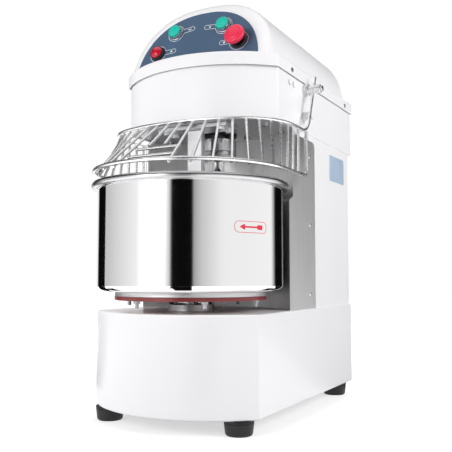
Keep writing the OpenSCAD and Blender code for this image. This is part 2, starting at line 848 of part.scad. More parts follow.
function hoop_arc(h) = [for (k = [0 : hoop_steps]) hoop_at(90 - 180 * k / hoop_steps, h)];
function hoop_outs() = [for (k = [0 : hoop_steps]) let (a = 90 - 180 * k / hoop_steps) [sin(a), -cos(a), 0]];
function bend(x, mid_u, mid_z, r, from) =
  [for (k = [0 : bend_steps])
    let (a = from - (90 + from) * k / bend_steps) [x, mid_u + r * cos(a), mid_z + r * sin(a)]];
function flipped(list) = [for (k = [len(list) - 1 : -1 : 0]) [-list[k][0], list[k][1], list[k][2]]];

// One bent wire: a side's points from its top end to the hoop, the hoop, and the other side
module wire(side, hoop, r) {
  outs = concat([for (p = side) [1, 0, 0]], hoop_outs(), [for (p = side) [-1, 0, 0]]);
  sweep(round_rings(concat(side, hoop_arc(hoop), flipped(side)), outs, r, 12));
}

module guard_frame() {
  up = [0, sin(arm_tilt), cos(arm_tilt)];
  arm_top = [guard_r, pivot_u, pivot_z] + arm_above * up;
  arm_side = concat([arm_top], bend(guard_r, bend_u, guard_top_z + arm_bend_r, arm_bend_r, -arm_tilt));
  end_side = concat([[guard_r, end_u, end_top_z]],
    bend(guard_r, end_u - end_bend_r, guard_low_z + end_bend_r, end_bend_r, 0));
  color(steel) from_bowl() {
    wire(arm_side, top_hoop, arm_r);
    wire(end_side, low_hoop, ring_r);
  }
}

module guard_bars() {
  color(steel) from_bowl() {
    for (i = [1 - guard_spaces : guard_spaces - 1]) rod(bar_top(i), bar_end(i), bar_r);
    for (t = window_rods) rod(window_end(-window_half, t), window_end(window_half, t), bar_r);
  }
}

module pivot_sides() {
  for (side = [-1, 1]) on_side(side, pivot_u, pivot_z) children();
}

module guard_pivots() {
  color(bright) for (side = [-1, 1]) difference() {
    on_side(side, pivot_u, pivot_z) difference() {
      union() {
        translate([0, 0, stud_in_x]) cylinder(r = stud_r, h = stud_out_x - stud_in_x);
        translate([0, 0, head_w / 2 + 6 + apart]) cylinder(r = 11, h = 4);
      }
      translate([0, 0, guard_r]) cylinder(r = 2.5, h = 40);
    }
    from_bowl() translate([side * guard_r, pivot_u, pivot_z]) rotate([-arm_tilt, 0, 0])
      translate([0, 0, -20]) cylinder(r = arm_r + run, h = 40);
  }
}

module pivot_screws() {
  color(dark) pivot_sides() difference() {
    union() {
      translate([0, 0, guard_r + arm_r]) cylinder(r = 2.5, h = stud_out_x - guard_r - arm_r + 1);
      translate([0, 0, stud_out_x]) cylinder(r = 6, h = 4);
    }
    translate([0, 0, stud_out_x + 1.5]) cylinder(r = 2.9, h = 5, $fn = 6);
  }
}

module pivot_bushes() {
  color(bright) pivot_sides() difference() {
    union() {
      translate([0, 0, head_w / 2]) cylinder(r = bush_r, h = 6);
      translate([0, 0, head_w / 2 - sheet - 8]) cylinder(r = bush_r - 3, h = sheet + 10);
    }
    translate([0, 0, head_w / 2 - 20]) cylinder(r = stud_r + run, h = 40);
  }
}

module guard_stops() {
  color(paint) for (side = [-1, 1]) on_side(side, stop_u, stop_z) {
    translate([0, 0, head_w / 2]) cylinder(r = stop_r, h = 22);
    translate([0, 0, head_w / 2 - sheet - 6]) cylinder(r = 4, h = sheet + 8);
  }
}

module guard_cam() {
  color(iron) on_side(1, pivot_u, pivot_z) translate([0, 0, stud_in_x - 10]) difference() {
    cylinder(r = 14, h = 10);
    translate([-20, -26, -e]) cube([40, 20, 10 + 2 * e]);
  }
}

module safety_switch() {
  wall_x = head_w / 2 - sheet;
  color(dark) from_bowl() difference() {
    union() {
      translate([stud_in_x - 12, pivot_u - 14, pivot_z + 20]) cube([wall_x - stud_in_x + 12, 28, 12]);
      translate([stud_in_x - 5, pivot_u - 6, pivot_z + 14 + apart]) cylinder(r = 3, h = 10);
    }
    for (u = [-9, 9]) translate([stud_in_x + 4, pivot_u + u, pivot_z]) cylinder(r = 1.6, h = 60);
  }
}

// Bowl and its support

module bowl() {
  in_r = bowl_r - bowl_t;
  c = bowl_corner_r;
  color(bright) from_bowl() {
    translate([0, 0, bowl_bottom]) rotate_extrude() {
      square([bowl_r - c, bowl_t]);
      intersection() {
        translate([bowl_r - c, c]) difference() {
          circle(r = c);
          circle(r = c - bowl_t);
        }
        translate([bowl_r - c, 0]) square([c, c]);
      }
      translate([in_r, c]) square([bowl_t, bowl_rim_z - bowl_bottom - c]);
    }
    translate([0, 0, bowl_rim_z]) rotate_extrude() translate([rim_mid_r, 0]) circle(r = rim_d / 2);
  }
}

module bowl_foot_ring() {
  color(steel) from_bowl() difference() {
    tube(carrier_r - 0.5, carrier_r - 46, foot_ring_z, bowl_bottom);
    ring_of(6, carrier_bolt_r, 12) translate([0, 0, foot_ring_z - e]) cylinder(r = bolt_r + fit, h = 8);
  }
}

module bowl_carrier() {
  color(red) from_bowl() difference() {
    translate([0, 0, carrier_z]) cylinder(r = carrier_r, h = foot_ring_z - carrier_z);
    ring_of(6, carrier_bolt_r, 12) translate([0, 0, carrier_z - e]) cylinder(r = bolt_r + fit, h = 20);
    ring_of(4, carrier_hole_r, 45) translate([0, 0, carrier_z - e]) cylinder(r = 18, h = 20);
  }
}

module carrier_bolts() {
  color(bright) from_bowl() ring_of(6, carrier_bolt_r, 12) translate([0, 0, carrier_z]) {
    hex_bolt(bolt_r, 5, 13);
    translate([0, 0, -13]) cylinder(r = 4, h = 12);
  }
}

module bowl_spindle() {
  flange_z = hub_top + 3;
  color(iron) from_bowl() {
    translate([0, 0, spindle_low]) cylinder(r = spindle_r, h = flange_z - spindle_low + e);
    translate([0, 0, flange_z]) cylinder(r = 30, h = carrier_z - flange_z);
  }
}

module bowl_pulley() {
  color(iron) from_bowl() difference() {
    translate([0, 0, level_bowl]) v_pulley(bowl_pulley_r, spindle_r);
    ring_of(6, 75) translate([0, 0, level_bowl]) cylinder(r = 22, h = pulley_w);
  }
}

module spindle_hub() {
  color(steel) from_bowl() difference() {
    union() {
      translate([0, 0, hub_low]) cylinder(r = hub_body_r, h = hub_top - hub_low);
      translate([0, 0, base_top]) cylinder(r = hub_r, h = hub_top - base_top);
    }
    translate([0, 0, hub_low - e]) cylinder(r = 24, h = hub_top);
    for (z = [hub_low, hub_top - bearing_h]) translate([0, 0, z - (z == hub_low ? e : 0)])
      cylinder(r = bearing_r, h = bearing_h + e);
    ring_of(4, hub_screw_r, 45) translate([0, 0, hub_top - 8]) cylinder(r = 2.5, h = 9);
  }
}

module hub_screws() {
  color(dark) from_bowl() ring_of(4, hub_screw_r, 45) difference() {
    union() {
      translate([0, 0, hub_top - 8]) cylinder(r = 2.5, h = 9);
      translate([0, 0, hub_top]) cylinder(r = 4.2, h = 4.5);
    }
    translate([0, 0, hub_top + 2]) cylinder(r = 2.4, h = 5, $fn = 6);
  }
}

module spindle_bearings() {
  color(bright) from_bowl() for (z = [hub_low, hub_top - bearing_h])
    tube(bearing_r, spindle_r + run, z, z + bearing_h);
}

// Hook and breaker bar

function ease(t) = t * t * (3 - 2 * t);
function hook_radius(t) =
  hook_r * ease(min(1, t / 0.24)) * (1 - 0.5 * ease(max(0, (t - 0.84) / 0.16)));
function hook_point(t) =
  let (a = 90 - 360 * hook_turns * t, r = hook_radius(t))
  [r * cos(a), r * sin(a), hook_start_z - (hook_start_z - hook_low_z) * (1 - pow(1 - t, 1.25))];
function hook_way(t) =
  let (d = hook_point(min(1, t + 0.004)) - hook_point(max(0, t - 0.004))) d / norm(d);
function hook_section(t, sides) =
  let (a = 90 - 360 * hook_turns * t,
    way = hook_way(t),
    out = [cos(a), sin(a), 0],
    flat = out - (out * way) * way,
    n = flat / norm(flat),
    b = cross(way, n),
    r = hook_bar_d / 2 * sqrt(max(0.1, 1 - pow(max(0, (t - 0.97) / 0.03), 2))))
  [for (k = [0 : sides - 1]) hook_point(t) + r * (cos(k * 360 / sides) * n + sin(k * 360 / sides) * b)];

// Bar of round section swept along the spiral
module spiral() {
  rings = 72;
  sides = 14;
  sweep([for (j = [0 : rings]) hook_section(j / rings, sides)]);
}

module spiral_hook() {
  color(bright) from_bowl() translate([0, hook_u, 0]) {
    spiral();
    translate([0, 0, hook_start_z - 14]) cylinder(r = hook_stem_r, h = hook_flange_z - hook_start_z + 14 + e);
    difference() {
      translate([0, 0, hook_flange_z]) cylinder(r = coupling_r, h = coupling_z - hook_flange_z);
      ring_of(4, hook_bolt_r, 30) translate([0, 0, hook_flange_z - e]) cylinder(r = bolt_r + fit, h = 30);
    }
  }
}

module hook_bolts() {
  color(bright) from_bowl() translate([0, hook_u, hook_flange_z]) ring_of(4, hook_bolt_r, 30)
    hex_bolt(bolt_r, 7, coupling_z - hook_flange_z + 12);
}

module hook_spindle() {
  color(steel) from_bowl() translate([0, hook_u, 0]) difference() {
    union() {
      translate([0, 0, coupling_z]) cylinder(r = coupling_r, h = coupling_top - coupling_z);
      translate([0, 0, coupling_top - e])
        cylinder(r = hook_spindle_r, h = level_hook + pulley_w + 6 - coupling_top);
    }
    ring_of(4, hook_bolt_r, 30) translate([0, 0, coupling_z - e]) cylinder(r = bolt_r + fit, h = 15);
  }
}

module hook_pulley() {
  color(iron) from_bowl() difference() {
    translate([0, hook_u, level_hook]) v_pulley(hook_pulley_r, hook_spindle_r);
    translate([0, hook_u, level_hook]) ring_of(5, 46) cylinder(r = 12, h = pulley_w);
  }
}

module hook_housing() {
  low = under_z + under_t;
  color(iron) from_bowl() translate([0, hook_u, 0]) difference() {
    union() {
      translate([0, 0, low]) cylinder(r = 76, h = 10);
      translate([0, 0, low]) cylinder(r = housing_r, h = housing_top - low);
    }
    translate([0, 0, low - e]) cylinder(r = 30, h = 200);
    translate([0, 0, low - e]) cylinder(r = hook_bearing_r, h = hook_bearing_h + e);
    translate([0, 0, housing_top - hook_bearing_h]) cylinder(r = hook_bearing_r, h = hook_bearing_h + e);
    ring_of(4, housing_bolt_r, 45) translate([0, 0, low - e]) cylinder(r = bolt_r + fit, h = 20);
  }
}

module hook_bearings() {
  color(bright) from_bowl() translate([0, hook_u, 0])
    for (z = [under_z + under_t, housing_top - hook_bearing_h])
      tube(hook_bearing_r, hook_spindle_r + run, z, z + hook_bearing_h);
}

module hook_seal() {
  color(dark) from_bowl() translate([0, hook_u, 0]) tube(39, hook_spindle_r + apart, under_z - 6, under_z);
}

module breaker_bar() {
  low = 262;
  deep = 14;
  color(steel) from_bowl() translate([0, breaker_u, 0]) difference() {
    union() {
      translate([-78, -20, under_z - breaker_flange_t]) cube([156, 52, breaker_flange_t]);
      translate([-breaker_w / 2, -deep / 2, low + 8]) cube([breaker_w, deep, under_z - low - 8 - e]);
      translate([0, deep / 2, low + breaker_w / 2]) rotate([90, 0, 0]) cylinder(r = breaker_w / 2, h = deep);
    }
    translate([-breaker_w, -deep, low - 10]) cube([2 * breaker_w, 2 * deep, 12]);
    translate([0, -breaker_u, under_z - 20]) breaker_bolt_places() cylinder(r = bolt_r + fit, h = 40);
  }
}

module breaker_bolts() {
  color(bright) from_bowl() breaker_bolt_places() translate([0, 0, under_z - breaker_flange_t])
    hex_bolt(bolt_r, 6, 16);
}

// Drive

module drive_plate() {
  w = head_w - 2 * sheet;
  back_u = 470;
  rib_t = 4;
  color(iron) from_bowl() difference() {
    union() {
      translate([-w / 2, drive_front_u, drive_z]) cube([w, back_u - drive_front_u, drive_t]);
      for (x = [-w / 2, w / 2 - rib_t]) translate([x, drive_front_u, drive_z - 30])
        cube([rib_t, back_u - drive_front_u, 34]);
    }
    translate([counter[0], counter[1], drive_z - e]) cylinder(r = counter_r + 4, h = drive_t + 2 * e);
    translate([0, motor_u, drive_z - e]) cylinder(r = motor_shaft_r + 5, h = drive_t + 2 * e);
    translate([0, motor_u, drive_z - e]) ring_of(4, motor_bolt_r, 45)
      cylinder(r = bolt_r + fit, h = drive_t + 2 * e);
  }
}

module motor() {
  fins = 20;
  top = drive_z;
  body_top = top - 30;
  color("#5f6b73") from_bowl() translate([0, motor_u, 0]) difference() {
    union() {
      translate([0, 0, motor_low + 40]) cylinder(r = motor_r - 7, h = body_top - motor_low - 40);
      translate([0, 0, motor_low]) cylinder(r = motor_r - 1, h = 46);
      translate([0, 0, body_top - 14]) cylinder(r = motor_r, h = 20);
      translate([0, 0, top - 26]) cylinder(r = 50, h = 20);
      translate([0, 0, top - 10]) cylinder(r = 80, h = 10);
      ring_of(fins, motor_r - 11) translate([0, -1.5, motor_low + 40]) cube([10, 3, body_top - motor_low - 46]);
      translate([-35, 45, body_top - 110]) cube([70, 28, 80]);
    }
    translate([0, 0, top - 60]) cylinder(r = motor_shaft_r + run, h = 70);
    translate([0, 0, motor_low - e]) ring_of(12, 34) translate([-14, -2, 0]) cube([28, 4, 6]);
    translate([0, 0, top - 20]) ring_of(4, motor_bolt_r, 45) cylinder(r = bolt_r + fit, h = 30);
  }
}

module motor_shaft() {
  color(bright) from_bowl() translate([0, motor_u, 0]) {
    translate([0, 0, drive_z - 55]) cylinder(r = motor_shaft_r, h = level_motor + pulley_w + 4 - drive_z + 55);
    translate([0, 0, level_motor]) v_pulley(motor_pulley_r, motor_shaft_r - 1);
  }
}

module motor_bolts() {
  color(bright) from_bowl() translate([0, motor_u, drive_z - 10]) ring_of(4, motor_bolt_r, 45) {
    hex_bolt(bolt_r, 6, drive_t + 18);
    translate([0, 0, 10 + drive_t]) cylinder(r = 7, h = 6, $fn = 6);
  }
}

module countershaft() {
  low = plate_top + 4 + apart;
  color(bright) from_bowl() translate([counter[0], counter[1], low])
    cylinder(r = counter_r, h = level_motor + pulley_w + 6 - low);
}

module countershaft_pulleys() {
  color(iron) from_bowl() translate([counter[0], counter[1], 0]) {
    difference() {
      translate([0, 0, level_motor]) v_pulley(counter_big_r, counter_r);
      translate([0, 0, level_motor]) ring_of(5, 50) cylinder(r = 15, h = pulley_w);
    }
    translate([0, 0, level_hook]) v_pulley(counter_hook_r, counter_r);
    translate([0, 0, level_jack]) v_pulley(bowl_step_r, counter_r);
  }
}

// Flanged bearing that stands on z = 0, open at the top; a blind one has a floor
module flange_bearing(shaft_r, high, floor_t) {
  difference() {
    union() {
      cylinder(r = shaft_r + 25, h = 6);
      cylinder(r = shaft_r + 14, h = high);
    }
    translate([0, 0, floor_t > 0 ? floor_t : -e]) cylinder(r = shaft_r + run, h = high + 2 * e);
    ring_of(4, shaft_r + 19.5, 45) translate([0, 0, -e]) cylinder(r = 3, h = 8);
  }
}

module countershaft_bearings() {
  color(iron) from_bowl() translate([counter[0], counter[1], 0]) {
    translate([0, 0, plate_top]) flange_bearing(counter_r, 18, 4);
    translate([0, 0, drive_z]) mirror([0, 0, 1]) flange_bearing(counter_r, 30, 0);
  }
}

module jackshaft() {
  low = plate_top + 4 + apart;
  color(bright) from_bowl() translate([jack[0], jack[1], 0]) {
    translate([0, 0, low]) cylinder(r = jack_r, h = base_top - deck_t - 8 - low);
    translate([0, 0, level_jack]) v_pulley(jack_big_r, jack_r - 1);
    translate([0, 0, level_bowl]) v_pulley(bowl_step_r, jack_r - 1);
  }
}

module jackshaft_bearings() {
  color(iron) from_bowl() translate([jack[0], jack[1], 0]) {
    translate([0, 0, plate_top]) flange_bearing(jack_r, 18, 4);
    translate([0, 0, base_top - deck_t]) mirror([0, 0, 1]) flange_bearing(jack_r, 40, 4);
  }
}

module drive_belts() {
  hook_axis = [0, hook_u];
  motor_axis = [0, motor_u];
  color(dark) from_bowl() {
    belt_pair(level_motor, counter, counter_big_r, motor_axis, motor_pulley_r);
    belt_pair(level_hook, hook_axis, hook_pulley_r, counter, counter_hook_r);
    belt_pair(level_jack, jack, jack_big_r, counter, bowl_step_r);
    belt_pair(level_bowl, [0, 0], bowl_pulley_r, jack, bowl_step_r);
  }
}

module electrics_box() {
  color("#9aa0a6") from_bowl() translate([-column_w / 2 + sheet, 300, 290]) difference() {
    cube([66, 110, 150]);
    for (z = [30, 75, 120]) translate([60, 15, z]) cube([10, 80, 3]);
  }
}

base_housing();
base_plate();
feet();
foot_bolts();
cable_gland();
column_housing();
column_front_cover();
rear_cover();
panel_screws();
head_housing();
head_under_plate();
under_plate_bolts();
top_cover();
lip_screws();
plug_caps();
control_panel();
button_bezels();
contact_blocks();
start_button();
jog_button();
power_lamp();
stop_plunger();
stop_mushroom();
guard_frame();
guard_bars();
guard_pivots();
pivot_screws();
pivot_bushes();
guard_stops();
guard_cam();
safety_switch();
bowl();
bowl_foot_ring();
bowl_carrier();
carrier_bolts();
bowl_spindle();
bowl_pulley();
spindle_hub();
hub_screws();
spindle_bearings();
spiral_hook();
hook_bolts();
hook_spindle();
hook_pulley();
hook_housing();
hook_bearings();
hook_seal();
breaker_bar();
breaker_bolts();
drive_plate();
motor();
motor_shaft();
motor_bolts();
countershaft();
countershaft_pulleys();
countershaft_bearings();
jackshaft();
jackshaft_bearings();
drive_belts();
electrics_box();
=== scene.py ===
"""Floor standing spiral dough mixer: the looks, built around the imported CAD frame.

Sizes are written in millimetres. u is the distance behind the bowl's axis, x is across and z is up;
at() turns them into the frame's metres. The stage, the lamps and the camera are in metres.
"""
import json
from math import asin, atan2, copysign, cos, degrees, pi, radians, sin, sqrt, tan, tau

import bmesh
import bpy
from mathutils import Matrix, Vector


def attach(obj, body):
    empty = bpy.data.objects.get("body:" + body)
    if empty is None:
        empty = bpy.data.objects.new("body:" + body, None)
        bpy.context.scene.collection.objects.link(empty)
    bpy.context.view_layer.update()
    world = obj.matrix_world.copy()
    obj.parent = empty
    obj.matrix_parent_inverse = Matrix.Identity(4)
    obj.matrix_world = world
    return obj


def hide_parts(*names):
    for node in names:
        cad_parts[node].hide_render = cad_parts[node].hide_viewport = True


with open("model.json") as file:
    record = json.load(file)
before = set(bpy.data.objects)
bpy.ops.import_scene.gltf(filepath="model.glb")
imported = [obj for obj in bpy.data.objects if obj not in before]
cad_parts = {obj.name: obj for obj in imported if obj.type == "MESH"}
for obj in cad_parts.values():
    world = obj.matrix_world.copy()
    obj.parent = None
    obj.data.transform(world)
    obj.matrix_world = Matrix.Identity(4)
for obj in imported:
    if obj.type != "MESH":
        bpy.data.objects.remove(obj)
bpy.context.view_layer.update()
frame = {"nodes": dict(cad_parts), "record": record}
NODES = frame["nodes"]
SCENE = bpy.context.scene

MM = 0.001
BOWL_Y = -143.0
UP = Vector((0, 0, 1))
SIDES = (-1, 1)

# Sizes shared with the solids
HOOK_U = 110.0
BOWL_R = 180.0
PANEL_U, PANEL_Z = 13.5, 698.0
PANEL_TILT = radians(17)
PIVOT_U, PIVOT_Z = 172.0, 659.0
ARM_TILT = radians(20.7)
GUARD_R = 190.5
GUARD_SPACES = 12.5
GUARD_END_U = 127.0
WINDOW_HALF = 1.5
WINDOW_RODS = (0.54, 0.72)
BAR_PAST = 0.5
STOP_U, STOP_Z = 164.21, 603.0
HEAD_HALF, LIP_HALF = 171.0, 175.0
BUTTONS = ((53.5, 78.5), (-58.5, 81), (-95, 37.5), (93.5, 36))

# The guard's bars are a little thicker than in the solids
BAR_R = 2.6


def at(x, u, z):
    return Vector((x * MM, (u + BOWL_Y) * MM, z * MM))


def place(x=0.0, u=0.0, z=0.0):
    """Matrix from local millimetres to the frame."""
    return Matrix.Translation(at(x, u, z)) @ Matrix.Scale(MM, 4)


def on_panel(spot):
    """Local x across the panel, y up its slope, z out of it."""
    turn = Matrix.Rotation(pi / 2 - PANEL_TILT, 4, "X")
    return place(0, PANEL_U, PANEL_Z) @ turn @ Matrix.Translation((*spot, 0))


def on_side(side, u, z):
    """Local z points out of the mixer's side."""
    return place(0, u, z) @ Matrix.Rotation(side * pi / 2, 4, "Y")


START, JOG, LAMP, STOP = (on_panel(spot) for spot in BUTTONS)


# Materials


def feed(tree, node, inputs):
    """Gives each input a value, or a link where an output is given."""
    for name, value in inputs.items():
        if isinstance(value, bpy.types.NodeSocket):
            tree.links.new(value, node.inputs[name])
        else:
            node.inputs[name].default_value = value


def add_node(tree, kind, inputs, **settings):
    node = tree.nodes.new(kind)
    for name, value in settings.items():
        setattr(node, name, value)
    feed(tree, node, inputs)
    return node


def map_range(tree, value, low_in, high_in, low, high, **settings):
    inputs = {"Value": value, "From Min": low_in, "From Max": high_in, "To Min": low, "To Max": high}
    return add_node(tree, "ShaderNodeMapRange", inputs, **settings).outputs["Result"]


def combine(tree, operation, one, two):
    return add_node(tree, "ShaderNodeMath", {0: one, 1: two}, operation=operation).outputs[0]


# Stretch of the noise: none, upright grain, sideways grain, turned grain
EVEN, ALONG_Z, ALONG_X, ROUND_Z = (1, 1, 1), (1, 1, 0.012), (0.012, 1, 1), (0.02, 0.02, 1)
NOISE_DETAIL = 3.0
NOISE_SPAN = (0.3, 0.7)
COAT_ROUGHNESS = 0.08


def look(name, colour, roughness, metallic=0.0, drift=None, wear=None, bump=None, grain=EVEN,
         coat=0.0, specular=0.5):
    """Principled material whose small differences come from noise on Object coordinates.

    Its colour and its roughness drift by (noise scale, amount), and its bump is
    (noise scale, strength, depth).
    """
    material = bpy.data.materials.new(name)
    material.use_nodes = True
    tree = material.node_tree
    shader = tree.nodes["Principled BSDF"]
    coords = tree.nodes.new("ShaderNodeTexCoord").outputs["Object"]

    def noise(scale):
        mapping = add_node(tree, "ShaderNodeMapping", {"Scale": grain, "Vector": coords})
        return add_node(tree, "ShaderNodeTexNoise", {
            "Scale": scale, "Detail": NOISE_DETAIL, "Vector": mapping.outputs["Vector"]}).outputs["Fac"]

    feed(tree, shader, {
        "Base Color": (*colour, 1), "Roughness": roughness, "Metallic": metallic,
        "Specular IOR Level": specular, "Coat Weight": coat, "Coat Roughness": COAT_ROUGHNESS})
    if drift:
        scale, amount = drift
        ramp = add_node(tree, "ShaderNodeValToRGB", {"Fac": noise(scale)})
        shades = (1 - amount, 1 + amount)
        for stop, spot, shade in zip(ramp.color_ramp.elements, NOISE_SPAN, shades):
            stop.position = spot
            stop.color = (*[min(1, c * shade) for c in colour], 1)
        feed(tree, shader, {"Base Color": ramp.outputs["Color"]})
    if wear:
        scale, amount = wear
        worn = map_range(tree, noise(scale), *NOISE_SPAN, roughness - amount, roughness + amount)
        feed(tree, shader, {"Roughness": worn})
    if bump:
        scale, strength, depth = bump
        relief = add_node(tree, "ShaderNodeBump", {
            "Strength": strength, "Distance": depth, "Height": noise(scale)})
        feed(tree, shader, {"Normal": relief.outputs["Normal"]})
    return material


white_paint = look(
    "white_paint", (0.885, 0.875, 0.892), 0.3, 0.0, (7, 0.006), (40, 0.015), (900, 0.01, 0.0001), coat=0.15,
    specular=0.4)
cover_steel = look(
    "brushed_cover_steel", (0.86, 0.855, 0.86), 0.48, 1.0, (900, 0.07), (1200, 0.06), (1500, 0.06, 0.0001),
    ALONG_Z)
plate_steel = look(
    "brushed_plate_steel", (0.74, 0.74, 0.75), 0.38, 1.0, (900, 0.06), (1200, 0.06), (1500, 0.06, 0.0001),
    ALONG_X)
bowl_steel = look(
    "polished_bowl_steel", (0.90, 0.90, 0.905), 0.07, 1.0, None, (700, 0.02), (1600, 0.012, 0.00004),
    ROUND_Z)
rim_steel = look(
    "rolled_rim_steel", (0.64, 0.635, 0.645), 0.28, 1.0, None, (500, 0.05), (1200, 0.03, 0.0001), ROUND_Z)
hook_steel = look(
    "polished_hook_steel", (0.74, 0.74, 0.75), 0.16, 1.0, None, (120, 0.05), (260, 0.05, 0.0004))
wire_steel = look(
    "drawn_wire_steel", (0.93, 0.93, 0.935), 0.3, 1.0, (60, 0.05), (400, 0.06), (900, 0.05, 0.0001))
zinc_steel = look(
    "bright_zinc", (0.72, 0.73, 0.745), 0.25, 1.0, (300, 0.06), (500, 0.06), (1200, 0.04, 0.0001))
# Darker copy of bright zinc: its darkness is painted shade on the bolts under the head floor and under the
# bowl carrier and on the plugs' dark rings; the lip screws use it as well
darkened_zinc = look("darkened_zinc", (0.42, 0.42, 0.43), 0.35, 1.0, (300, 0.08), (500, 0.06), (1200, 0.05, 0.0001))
hub_steel = look(
    "turned_hub_steel", (0.66, 0.655, 0.66), 0.48, 1.0, (300, 0.05), (600, 0.05), (1200, 0.05, 0.0001),
    ROUND_Z)
coupling_steel = look(
    "polished_coupling_steel", (0.62, 0.62, 0.63), 0.2, 1.0, None, (700, 0.05), (1400, 0.04, 0.0001),
    ROUND_Z)
shaft_steel = look(
    "ground_shaft_steel", (0.60, 0.605, 0.615), 0.27, 1.0, None, (900, 0.06), (1500, 0.05, 0.0001), ROUND_Z)
foot_rubber = look(
    "foot_rubber", (0.006, 0.0055, 0.006), 0.5, 0.0, (90, 0.25), (200, 0.08), (700, 0.2, 0.0003))
belt_rubber = look("belt_rubber", (0.022, 0.022, 0.022), 0.75, 0.0, (150, 0.25), None, (600, 0.3, 0.0004))
black_plastic = look(
    "black_moulding", (0.022, 0.022, 0.024), 0.42, 0.0, None, (260, 0.07), (900, 0.12, 0.0002))
black_steel = look("blackened_steel", (0.05, 0.05, 0.053), 0.4, 0.6, (240, 0.2), (300, 0.08))
panel_film = look(
    "slate_panel_film", (0.072, 0.122, 0.2), 0.42, 0.0, (14, 0.03), (300, 0.04), (1400, 0.08, 0.0001),
    specular=0.25)
green_cap = look(
    "green_cap", (0.004, 0.53, 0.41), 0.3, 0.0, (120, 0.03), (300, 0.05), (900, 0.05, 0.0001), coat=0.15)
red_lens = look("red_lens", (0.56, 0.004, 0.03), 0.2, 0.0, (160, 0.04), None, (500, 0.03, 0.0001), coat=0.3)
red_cap = look(
    "red_cap", (0.86, 0.028, 0.085), 0.33, 0.0, (120, 0.03), (300, 0.05), (900, 0.06, 0.0001), coat=0.15)
red_paint = look(
    "red_primer_paint", (0.22, 0.03, 0.03), 0.35, 0.0, (40, 0.08), (120, 0.06), (500, 0.08, 0.0003),
    coat=0.1)
cast_iron = look("cast_iron", (0.14, 0.145, 0.15), 0.55, 0.7, (70, 0.2), (160, 0.1), (380, 0.35, 0.0006))
dark_steel = look(
    "primed_steel", (0.12, 0.125, 0.13), 0.5, 0.0, (30, 0.08), (160, 0.07), (600, 0.1, 0.0002))
motor_paint = look(
    "motor_paint", (0.12, 0.15, 0.17), 0.45, 0.0, (40, 0.08), (160, 0.08), (420, 0.15, 0.0004))
box_paint = look("box_powder_coat", (0.30, 0.32, 0.34), 0.5, 0.0, (40, 0.05), None, (900, 0.2, 0.0003))
sign_red = look("sign_red", (0.74, 0.02, 0.055), 0.4, 0.0, (200, 0.04), (300, 0.05))
sign_white = look("sign_white", (0.80, 0.82, 0.84), 0.45, 0.0, (200, 0.03), (300, 0.05))
plate_film = look(
    "bare_plate_film", (0.40, 0.50, 0.63), 0.35, 0.0, (60, 0.03), (300, 0.05), (1000, 0.04, 0.0001))

SLOT_FINISH = {
    "white_paint": white_paint, "stainless_sheet": plate_steel, "polished_steel": hook_steel,
    "zinc_steel": zinc_steel, "shaft_steel": shaft_steel, "black_rubber": foot_rubber,
    "belt_rubber": belt_rubber, "black_plastic": black_plastic, "black_steel": black_steel,
    "panel_film": panel_film, "green_plastic": green_cap, "red_lamp": red_lens,
    "red_plastic": red_cap, "red_paint": red_paint, "cast_iron": cast_iron,
    "dark_steel": dark_steel, "motor_grey": motor_paint, "grey_box": box_paint,
}
for part in frame["record"]["subparts"]:
    solid = NODES[part["node"]]
    solid.data.materials.clear()
    solid.data.materials.append(SLOT_FINISH[part["material_slot"]])


# Mesh helpers

# Distances in metres at which points are one, and degrees below which faces are one
MERGE, SOLID_MERGE, FLAT_ANGLE = 1e-7, 2e-6, 0.6


def new_object(name, data):
    obj = bpy.data.objects.new(name, data)
    SCENE.collection.objects.link(obj)
    return obj


def mesh_of(name, bm):
    mesh = bpy.data.meshes.new(name)
    bm.to_mesh(mesh)
    bm.free()
    return mesh


def settle(name, mesh, body, finish, slot, *nodes, crease=35):
    """Piece with a material, smooth faces, a body and the node that it stands for."""
    obj = new_object(name, mesh)
    mesh.materials.clear()
    mesh.materials.append(finish)
    if crease:
        mesh.shade_smooth()
        mesh.set_sharp_from_angle(angle=radians(crease))
    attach(obj, body)
    if nodes:
        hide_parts(*nodes)


def finish_piece(name, bm, body, finish, slot, *nodes, crease=35):
    bmesh.ops.remove_doubles(bm, verts=bm.verts, dist=MERGE)
    bmesh.ops.recalc_face_normals(bm, faces=bm.faces)
    settle(name, mesh_of(name, bm), body, finish, slot, *nodes, crease=crease)


def evaluated(obj, name):
    """Plain mesh of an object with its modifiers applied; the object itself goes."""
    view = bpy.context.evaluated_depsgraph_get()
    mesh = bpy.data.meshes.new_from_object(obj.evaluated_get(view))
    mesh.name = name
    bpy.data.objects.remove(obj)
    return mesh


def softened(name, node, body, finish, slot, width, segments=2):
    """Copy of a solid with its edges rounded, which stands for it."""
    crease = radians(40)
    mesh = NODES[node].data.copy()
    bm = bmesh.new()
    bm.from_mesh(mesh)
    bmesh.ops.remove_doubles(bm, verts=bm.verts, dist=SOLID_MERGE)
    bmesh.ops.dissolve_limit(bm, angle_limit=radians(FLAT_ANGLE), verts=bm.verts, edges=bm.edges)
    bm.to_mesh(mesh)
    bm.free()
    mesh.shade_smooth()
    mesh.set_sharp_from_angle(angle=crease)
    obj = new_object(name + "_edges", mesh)
    bevel = obj.modifiers.new("rounded_edges", "BEVEL")
    bevel.width = width * MM
    bevel.segments = segments
    bevel.limit_method = "ANGLE"
    bevel.angle_limit = crease
    bevel.use_clamp_overlap = False
    bevel.harden_normals = True
    settle(name, evaluated(obj, name), body, finish, slot, node, crease=0)


def quarter(steps):
    return [pi / 2 * k / steps for k in range(steps + 1)]


def circle(r, count, turn=0.0):
    """Points round the origin, the first one turned by some degrees."""
    turns = [radians(turn) + k * tau / count for k in range(count)]
    return [(r * cos(a), r * sin(a)) for a in turns]


def arc(cx, cy, r, start, end, steps):
    """Points of a circle's arc, in degrees."""
    turns = [radians(start + (end - start) * k / steps) for k in range(steps + 1)]
    return [(cx + r * cos(a), cy + r * sin(a)) for a in turns]


def ring(bm, points, matrix=Matrix()):
    return [bm.verts.new(matrix @ Vector(p)) for p in points]


